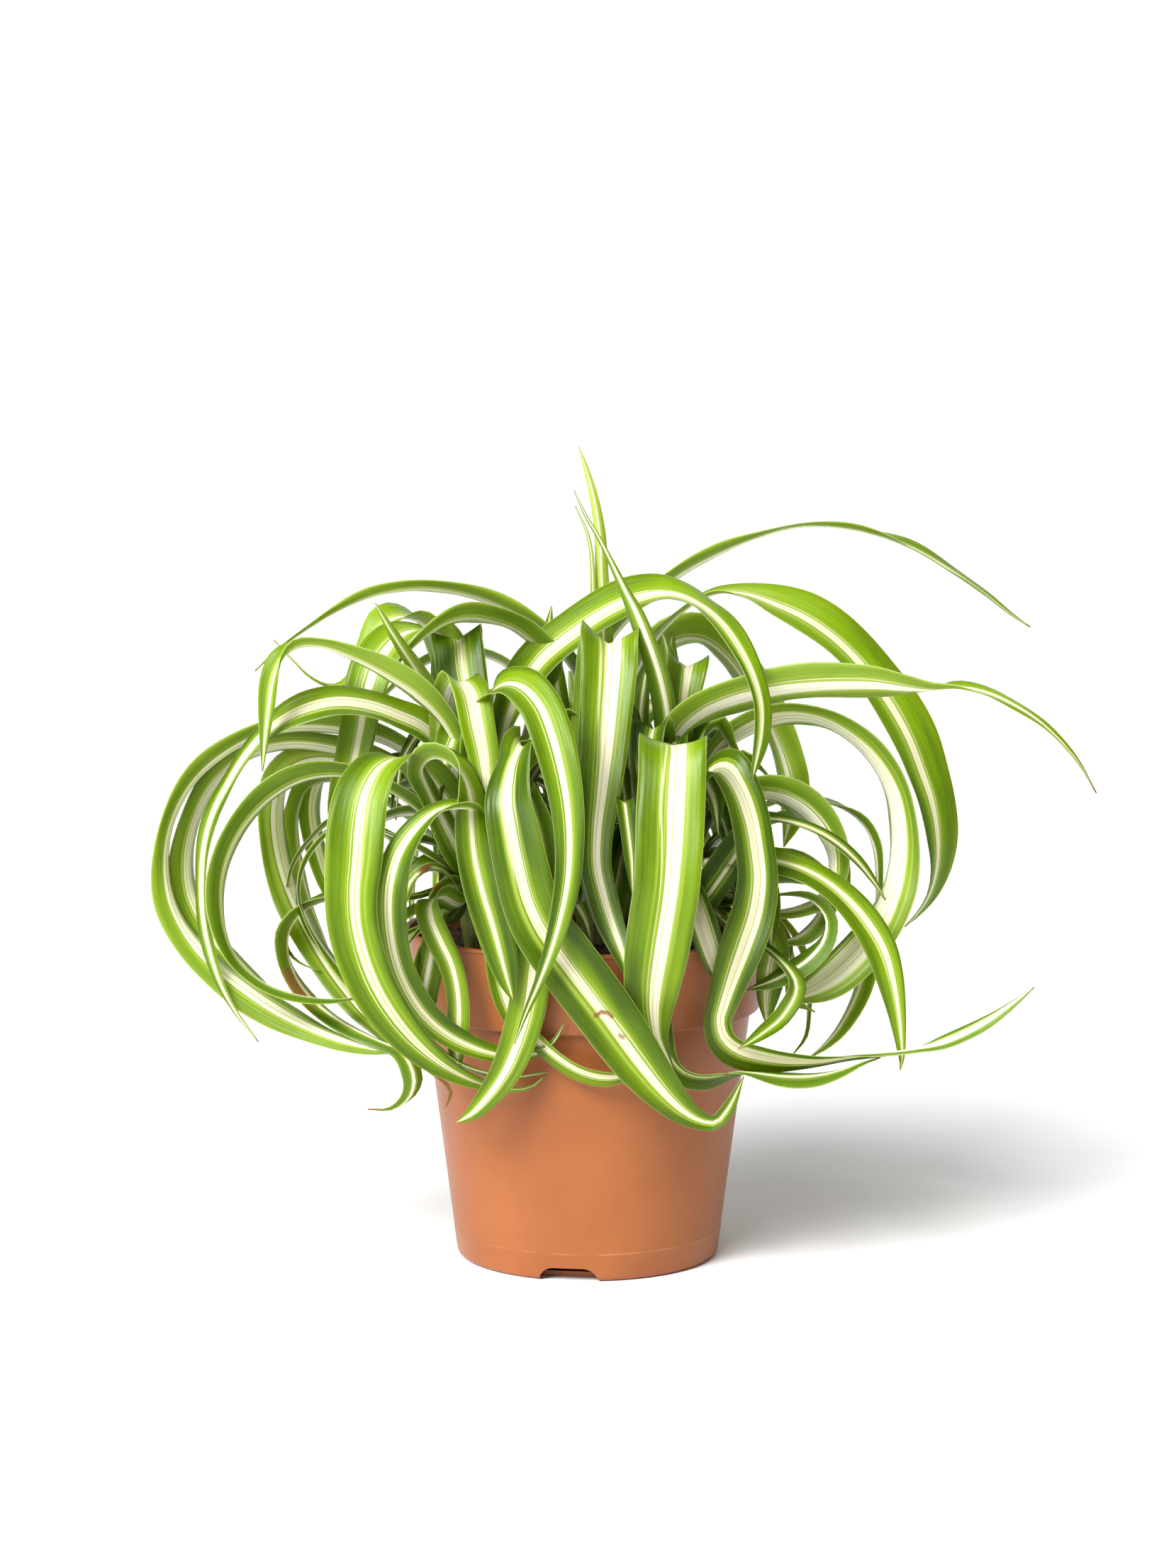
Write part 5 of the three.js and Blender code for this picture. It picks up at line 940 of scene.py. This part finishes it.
def youngLeaves():
    rng = random.Random(23)
    for crown, (x, y) in crowns.items():
        for k in range(young["perCrown"]):
            angle = 360 * k / young["perCrown"] + rng.uniform(-young["turn"], young["turn"])
            height = rng.uniform(*young["height"])
            turn = math.radians(angle)
            reach = rng.uniform(*young["reach"])
            tipHeight = height - rng.uniform(*young["tipDrop"])
            # A tip goes past the inside of the rim only well above it.
            limit = young["outside" if tipHeight > young["clearHeight"] else "inside"]
            while math.hypot(x + reach * math.cos(turn), y + reach * math.sin(turn)) > limit:
                reach *= 0.93
            width = rng.uniform(*young["width"])
            drift = rng.uniform(-young["drift"], young["drift"])
            shape = [angle, height, reach * young["topShare"], reach, tipHeight, width, drift]
            pattern = [rng.uniform(*young["stripe"]), rng.uniform(*young["light"])]
            archLeaf("young_%s_%d" % (crown, k + 1), crown, shape, 600 + k, pattern)


# Half-hidden leaves low in the crowns, in the same rows as the leaves.
hiddenLeaves = [
    ["hidden_one", "left", 28, [[-36, 128, 10, 9, 95], [-38, 144, 8, 11, 98], [-44, 151.5, 8, 12, 100],
        [-52, 155, 6, 12, 102], [-61, 155, 4, 11, 102], [-71, 149.5, 2, 9, 100], [-80, 140, 0, 1, 100]]],
    ["hidden_two", "left", 28, [[-37, 125, 18, 9, 95], [-41, 137, 18, 11, 98], [-48, 143.5, 17, 12, 104],
        [-57, 146.5, 15, 12, 108], [-66, 145, 13, 10, 108], [-76, 138, 11, 7, 104], [-83, 130, 9, 1, 100]]],
    ["hidden_three", "left", 26, [[-38, 122, 24, 8, 90], [-42, 130.5, 25, 10, 92], [-49, 136, 25, 11, 96],
        [-57, 137.5, 25, 10, 100], [-65, 133.5, 25, 8, 100], [-70, 126, 25, 1, 96]]],
    ["hidden_five", "left", 22, [[-40, 118, 20, 8, 60], [-45, 126, 24, 10, 60], [-51, 129, 27, 11, 60],
        [-57, 126, 28, 10, 60], [-61, 118, 28, 8, 50], [-63, 111, 28, 1, 50]]],
    ["hidden_six", "right", 30, [[48, 122, 14, 9, -95], [58, 131.5, 15, 12, -95], [68, 131.5, 17, 13, -98],
        [76, 126, 18, 13, -104], [79, 118.4, 19, 13, -112], [76.5, 110.5, 21, 12, -120],
        [70, 104.5, 24, 10, -120], [61.5, 103, 27, 1, -115]]],
    ["hidden_seven", "right", 28, [[44, 124, 4, 9, -95], [54, 140, 2, 12, -98], [66, 145, 1, 13, -104],
        [77, 140, 0, 12, -110], [84, 129, 0, 10, -112], [86, 116, 1, 1, -110]]],
    ["hidden_eight", "right", 26, [[40, 122, 20, 8, -60], [47, 131, 26, 10, -50], [53, 130, 30, 11, -40],
        [58, 122, 33, 10, -20], [60, 112, 35, 8, 0], [60.5, 101, 37, 1, 0]]],
    ["hidden_four", "left", 26, [[-35, 126, 2, 9, 100], [-40, 148, -2, 12, 106], [-49, 160, -4, 13, 110],
        [-60, 163.5, -6, 12, 112], [-72, 160, -8, 10, 110], [-84, 151, -9, 1, 106]]],
    ["heart_fold", "right", 22, [[30, 112, 24, 9, 10], [36, 116, 28, 11, 10], [42, 124, 30, 12, 10],
        [48, 133, 31, 12, 10], [54, 142, 31, 9, 10], [58, 148, 30, 1, 10]]],
    ["heart_dark", "centre", 24, [[8, 114, 6, 9, 30], [9.5, 122, 6, 13, 30], [12, 134, 6, 14, 30],
        [16, 144, 6, 12, 30], [21, 152, 5, 8, 30], [27, 156, 4, 1, 30]]],
    ["pale_drop", "right", 20, [[31, 123, 34, 6, 0], [34, 120, 43, 9, 0], [37, 112, 50, 10, 0],
        [40, 103, 51, 10, 0], [42.5, 95, 50, 8, 0], [44, 87, 49, 1, 0]]],
]


leafMaterials = [
    leafMaterial("leafUpper", leafLook["upper"]),
    leafMaterial("leafUnder", leafLook["under"]),
]
for index, leaf in enumerate(leaves + hiddenLeaves):
    frontLeaf(index, leaf)
for index, shape in enumerate(backLeaves):
    archLeaf("leaf_back_%02d" % (index + 1), "rear", shape, 401 + index, [0.2, 0.4])
youngLeaves()
shortLeaves = len(hiddenLeaves) + young["perCrown"] * len(crowns)
print("leaves made:", len(leaves) + len(backLeaves) + shortLeaves)


pot = {
    "wall": 1.2,
    "floor": 1.6,
    "baseRadius": 43.4,
    "corner": 1.8,
    "slope": 0.13,
    "collarBottom": 82.5,
    "collarRadius": 56.7,
    "lipBottom": 107.6,
    "lipRadius": 60.6,
    "height": 108.9,
    "sides": 192,
    "light": linear(152, 89, 47),
    "dark": linear(142, 81, 42),
    "speck": linear(132, 80, 54),
    "moulding": linear(206, 160, 128),
    "mouldLine": 9,
    "mouldLineShape": ((0, -0.5), (0.06, -0.15), (0.06, 0.15), (0, 0.5)),
    "roughness": 0.38,
    "sheen": 0.28,
}
channels = {"count": 3, "first": -98.4, "bottom": 20, "top": 14.2, "height": 4.3, "depth": 7}


def turned(name, profile, sides):
    # A closed surface of revolution; the profile starts and ends on the axis.
    vertices = [(0, 0, profile[0][1] * mm)]
    rings = profile[1:-1]
    for radius, height in rings:
        for i in range(sides):
            angle = math.tau * i / sides
            x, y = radius * mm * math.cos(angle), radius * mm * math.sin(angle)
            vertices.append((x, y, height * mm))
    vertices.append((0, 0, profile[-1][1] * mm))
    polygons = []
    for i in range(sides):
        j = (i + 1) % sides
        polygons.append((0, 1 + j, 1 + i))
        for k in range(len(rings) - 1):
            a, b = 1 + k * sides, 1 + (k + 1) * sides
            polygons.append((a + i, a + j, b + j, b + i))
        top = 1 + (len(rings) - 1) * sides
        polygons.append((top + i, top + j, len(vertices) - 1))
    mesh = newMesh(name, vertices, polygons)
    mesh.update()
    return mesh


def wallAt(height):
    if height < pot["collarBottom"]:
        return pot["baseRadius"] + pot["slope"] * (height - pot["corner"])
    return pot["collarRadius"] + pot["slope"] * (height - pot["collarBottom"])


def rounded(corner, start, end, radius, count=5):
    # Points on a small round at a profile corner, between the two neighbours.
    corner, start, end = (np.array(p, float) for p in (corner, start, end))
    a = corner + unit(start - corner) * radius
    b = corner + unit(end - corner) * radius
    line = []
    for i in range(count + 1):
        t = i / count
        line.append(tuple(a * (1 - t) ** 2 + corner * 2 * t * (1 - t) + b * t * t))
    return line


def potProfile():
    wall, low, shelf, lip, top = (
        pot["wall"], pot["corner"], pot["collarBottom"], pot["lipBottom"], pot["height"]
    )
    corners = [
        (0, 0), (pot["baseRadius"] - 0.2, 0), (wallAt(shelf - 0.01), shelf),
        (pot["collarRadius"], shelf), (wallAt(lip), lip), (pot["lipRadius"], lip + 0.1),
        (pot["lipRadius"], top), (wallAt(lip) - wall, top),
        (wallAt(shelf + 1.6) - wall, shelf + 1.6), (wallAt(shelf - 1) - wall, shelf - 1),
        (pot["baseRadius"] - wall, pot["floor"]), (0, pot["floor"]),
    ]
    rounds = [0, low, 0.3, 0.6, 0.25, 0.2, 0.5, 0.4, 0.6, 0.6, 1.0, 0]
    profile = [corners[0]]
    for k in range(1, len(corners) - 1):
        profile += rounded(corners[k], corners[k - 1], corners[k + 1], rounds[k])
    # The faint line left by the mould, low on the wall.
    mark = next(i for i, p in enumerate(profile) if p[1] > 5)
    level = pot["mouldLine"]
    profile[mark:mark] = [(wallAt(level) + d, level + h) for d, h in pot["mouldLineShape"]]
    profile.append(corners[-1])
    return profile


def channelCutter(angle):
    half, top, height = channels["bottom"] / 2, channels["top"] / 2, channels["height"]
    outline = [(-half, -1), (half, -1)]
    outline += rounded((top + 0.6, height), (half, 0), (0, height), 3.4, 6)
    outline += rounded((-top - 0.6, height), (0, height), (-half, 0), 3.4, 6)
    inside, outside = pot["baseRadius"] - channels["depth"], pot["baseRadius"] + 5
    turn = math.radians(angle)
    vertices = []
    for reach in (inside, outside):
        for y, z in outline:
            vertices.append((
                (reach * math.cos(turn) - y * math.sin(turn)) * mm,
                (reach * math.sin(turn) + y * math.cos(turn)) * mm,
                z * mm,
            ))
    n = len(outline)
    polygons = [tuple(reversed(range(n))), tuple(range(n, 2 * n))]
    for i in range(n):
        j = (i + 1) % n
        polygons.append((i, j, n + j, n + i))
    return placed("channel", newMesh("channel", vertices, polygons))


def shadeByAngle(mesh, degrees):
    # Smooth everywhere but on edges sharper than the angle.
    work = bmesh.new()
    work.from_mesh(mesh)
    bmesh.ops.recalc_face_normals(work, faces=work.faces)
    for face in work.faces:
        face.smooth = True
    limit = math.radians(degrees)
    for edge in work.edges:
        edge.smooth = len(edge.link_faces) == 2 and edge.calc_face_angle(0) < limit
    work.to_mesh(mesh)
    work.free()


def potMaterial():
    graph = Graph("potPlastic")
    place = graph.position()
    cloud = graph.noise(place, 22, 4)
    grain = graph.noise(place, 900, 2)
    specks = graph.noise(place, 420, 1).between(0.735, 0.78)
    wear = graph.noise(place, 60, 6, 0.7)
    color = graph.mix(cloud.between(0.35, 0.65), pot["dark"], pot["light"])
    color = graph.mix(specks * 0.5, color, pot["speck"])
    height = graph.parts(place)[2]
    mouldLine = 1 - (height - pot["mouldLine"] * mm).size().between(0.0001, 0.0004)
    color = graph.mix(mouldLine * wear.between(0.45, 0.6) * 0.2, color, pot["moulding"])
    graph.set(
        Base_Color=color,
        Roughness=pot["roughness"] + (wear - 0.5) * 0.2,
        Normal=graph.bump(grain * 0.4 + cloud, 0.1, 0.0005),
        Subsurface_Weight=0.05,
        Subsurface_Radius=(0.004, 0.002, 0.001),
        Subsurface_Scale=0.5,
        Specular_IOR_Level=pot["sheen"],
    )
    return graph.material


def makePot():
    mesh = turned("pot_shell", potProfile(), pot["sides"])
    shadeByAngle(mesh, 30)
    piece = addPiece("pot_shell", mesh, [potMaterial()], "pot")
    for i in range(channels["count"]):
        cutter = channelCutter(channels["first"] + i * 360 / channels["count"])
        cut = piece.modifiers.new("cut", "BOOLEAN")
        cut.operation = "DIFFERENCE"
        cut.solver = "EXACT"
        cut.object = cutter
    bpy.context.view_layer.update()
    shape = piece.evaluated_get(bpy.context.evaluated_depsgraph_get())
    done = bpy.data.meshes.new_from_object(shape)
    for cut in list(piece.modifiers):
        bpy.data.objects.remove(cut.object, do_unlink=True)
    piece.modifiers.clear()
    piece.data = done
    shadeByAngle(done, 30)


makePot()
print("pot made")


soil = {
    "top": 101.5,
    "edgeRise": 1.5,
    "edgeFrom": 46,
    "edgeOver": 12,
    "sideHeights": (86, 81.5, 5.8),
    "gap": 0.3,
    "rings": 70,
    "sides": 220,
    "lumps": 1.3,
    "crumbs": 420,
    "crumbReach": 56,
    "crumbSize": (0.6, 1.9),
    "dark": linear(38, 26, 18),
    "light": linear(92, 64, 42),
    "fleck": linear(150, 118, 84),
}


def soilMaterial():
    graph = Graph("peat")
    place = graph.position()
    lump = graph.noise(place, 150, 6, 0.7)
    fibre = graph.noise(place, 900, 3)
    color = graph.mix((lump * 0.6 + fibre * 0.5).between(0.42, 0.75), soil["dark"], soil["light"])
    color = graph.mix(fibre.between(0.68, 0.78) * 0.6, color, soil["fleck"])
    graph.set(Base_Color=color, Roughness=0.95, Normal=graph.bump(lump + fibre * 0.5, 0.8, 0.0012))
    return graph.material


def groundHeight(x, y, rng):
    reach = math.hypot(x, y)
    rise = soil["edgeRise"] * max(0, (reach - soil["edgeFrom"]) / soil["edgeOver"]) ** 1.5
    rough = (
        math.sin(x * 0.31 + 1.3) * math.cos(y * 0.27 - 0.6) * 0.6
        + math.sin(x * 0.83 - y * 0.7) * 0.35
        + math.sin(x * 1.9 + y * 1.3 + 2) * 0.22
        + rng.uniform(-0.35, 0.35)
    )
    return soil["top"] - 0.6 + rise + rough * soil["lumps"] * 0.6


def soilMesh():
    # One closed body: a lumpy top over a plain tapered side and bottom.
    rng = random.Random(7)
    gap = pot["wall"] + soil["gap"]
    topRadius = wallAt(soil["top"]) - gap
    sides, rings = soil["sides"], soil["rings"]
    vertices = [(0, 0, soil["top"] * mm)]
    for ring in range(1, rings + 1):
        radius = topRadius * ring / rings
        for i in range(sides):
            angle = math.tau * i / sides
            x, y = radius * math.cos(angle), radius * math.sin(angle)
            vertices.append((x * mm, y * mm, groundHeight(x, y, rng) * mm))
    for height in soil["sideHeights"]:
        radius = wallAt(height) - gap
        for i in range(sides):
            angle = math.tau * i / sides
            x, y = radius * math.cos(angle), radius * math.sin(angle)
            vertices.append((x * mm, y * mm, height * mm))
    vertices.append((0, 0, soil["sideHeights"][-1] * mm))
    polygons = []
    total = rings + len(soil["sideHeights"])
    for i in range(sides):
        j = (i + 1) % sides
        polygons.append((0, 1 + i, 1 + j))
        for ring in range(total - 1):
            a, b = 1 + ring * sides, 1 + (ring + 1) * sides
            polygons.append((a + i, b + i, b + j, a + j))
        last = 1 + (total - 1) * sides
        polygons.append((last + i, len(vertices) - 1, last + j))
    mesh = newMesh("soil_bed", vertices, polygons)
    mesh.shade_smooth()
    return mesh


def crumbMesh():
    # Loose crumbs and bits of bark lying on the soil, each a squashed little ball.
    rng = random.Random(11)
    work = bmesh.new()
    for _ in range(soil["crumbs"]):
        reach = soil["crumbReach"] * math.sqrt(rng.random())
        angle = rng.uniform(0, math.tau)
        x, y = reach * math.cos(angle), reach * math.sin(angle)
        size = rng.uniform(*soil["crumbSize"])
        ball = bmesh.ops.create_icosphere(work, subdivisions=1, radius=size * 0.5 * mm)
        stretch = Vector((rng.uniform(0.7, 1.6), rng.uniform(0.7, 1.2), rng.uniform(0.5, 0.9)))
        spin = rng.uniform(0, math.tau)
        lift = groundHeight(x, y, rng) + size * 0.15
        for vertex in ball["verts"]:
            spot = Vector(a * b for a, b in zip(vertex.co, stretch)) * rng.uniform(0.85, 1.15)
            vertex.co = Vector((
                spot.x * math.cos(spin) - spot.y * math.sin(spin) + x * mm,
                spot.x * math.sin(spin) + spot.y * math.cos(spin) + y * mm,
                spot.z + lift * mm,
            ))
    mesh = bpy.data.meshes.new("soil_crumbs")
    work.to_mesh(mesh)
    work.free()
    return mesh


peat = soilMaterial()
addPiece("soil_bed", soilMesh(), [peat], "soil")
addPiece("soil_crumbs", crumbMesh(), [peat], "soil")
print("soil made")


studio = {
    "horizon": (1.04, 1.04, 1.04, 1),
    "ceiling": (0.28, 0.28, 0.28, 1),
    "shadeSide": (0.3, 0.3, 0.3, 1),
    "shadeFrom": (0.25, 0.7),
    "ceilingFrom": (0.12, 0.26),
    "floor": (0.95, 0.95, 0.95, 1),
    "floorReach": 40,
    "floorDrop": 0.0002,
    "aim": (0, 0, 0.13),
    "sun": {"from": (-0.62, -0.95, 1.2), "strength": 3.75, "angle": 40},
    "lights": [
        ["front", (-0.75, -1.1, 1.1), 0.6, 18],
        ["low", (-0.95, -0.75, 0.1), 0.5, 4],
        ["back", (0.5, 1.2, 1.1), 1.2, 5],
    ],
}


def aimed(name, light, place):
    lamp = placed(name, light)
    lamp.location = place
    aim = Vector(studio["aim"]) - Vector(place)
    lamp.rotation_euler = aim.to_track_quat("-Z", "Y").to_euler()


def addLight(name, place, size, power):
    light = bpy.data.lights.new(name, "AREA")
    light.shape = "DISK"
    light.size = size
    light.energy = power
    aimed(name, light, place)


def addSun():
    light = bpy.data.lights.new("sun", "SUN")
    light.energy = studio["sun"]["strength"]
    light.angle = math.radians(studio["sun"]["angle"])
    aimed("sun", light, studio["sun"]["from"])


def makeWorld():
    # A white wall all round, dim on the right, and a dim ceiling, told apart by the
    # direction of the ray.
    world = bpy.data.worlds.new("studio")
    bpy.context.scene.world = world
    world.use_nodes = True
    nodes, links = world.node_tree.nodes, world.node_tree.links
    sky = next(n for n in nodes if n.type == "BACKGROUND")
    place = nodes.new("ShaderNodeTexCoord")
    axes = nodes.new("ShaderNodeSeparateXYZ")
    links.new(place.outputs["Generated"], axes.inputs[0])

    def blend(axis, low, high, before, after):
        share = nodes.new("ShaderNodeMapRange")
        share.interpolation_type = "SMOOTHSTEP"
        share.inputs["From Min"].default_value = low
        share.inputs["From Max"].default_value = high
        links.new(axes.outputs[axis], share.inputs["Value"])
        tone = nodes.new("ShaderNodeMix")
        tone.data_type = "RGBA"
        links.new(share.outputs[0], tone.inputs[0])
        if isinstance(before, tuple):
            tone.inputs[6].default_value = before
        else:
            links.new(before, tone.inputs[6])
        tone.inputs[7].default_value = after
        return tone.outputs[2]

    wall = blend(0, *studio["shadeFrom"], studio["horizon"], studio["shadeSide"])
    links.new(blend(2, *studio["ceilingFrom"], wall, studio["ceiling"]), sky.inputs["Color"])


def makeStudio():
    makeWorld()
    reach = studio["floorReach"]
    corners = [(-reach, -reach, 0), (reach, -reach, 0), (reach, reach, 0), (-reach, reach, 0)]
    mesh = newMesh("floor", corners, [(0, 1, 2, 3)])
    floor = placed("floor", mesh)
    floor.location.z = -studio["floorDrop"]
    paper = Graph("paper")
    paper.set(Base_Color=studio["floor"], Roughness=0.9)
    mesh.materials.append(paper.material)
    addSun()
    for light in studio["lights"]:
        addLight(*light)
    bpy.context.scene.view_settings.view_transform = "Standard"


# Fitted to the ellipses of the pot's lip and foot in the photograph; metres and degrees.
view = {"lens": 79.8, "sensor": 36, "place": (0.000117, -1.13365, 0.2852), "down": 6.5085}


def makeCamera():
    camera = bpy.data.cameras.new("camera")
    camera.lens = view["lens"]
    camera.sensor_width = view["sensor"]
    camera.sensor_fit = "AUTO"
    holder = placed("camera", camera)
    holder.location = view["place"]
    holder.rotation_euler = (math.radians(90 - view["down"]), 0, 0)
    bpy.context.scene.camera = holder


makeStudio()
makeCamera()
print("studio made")
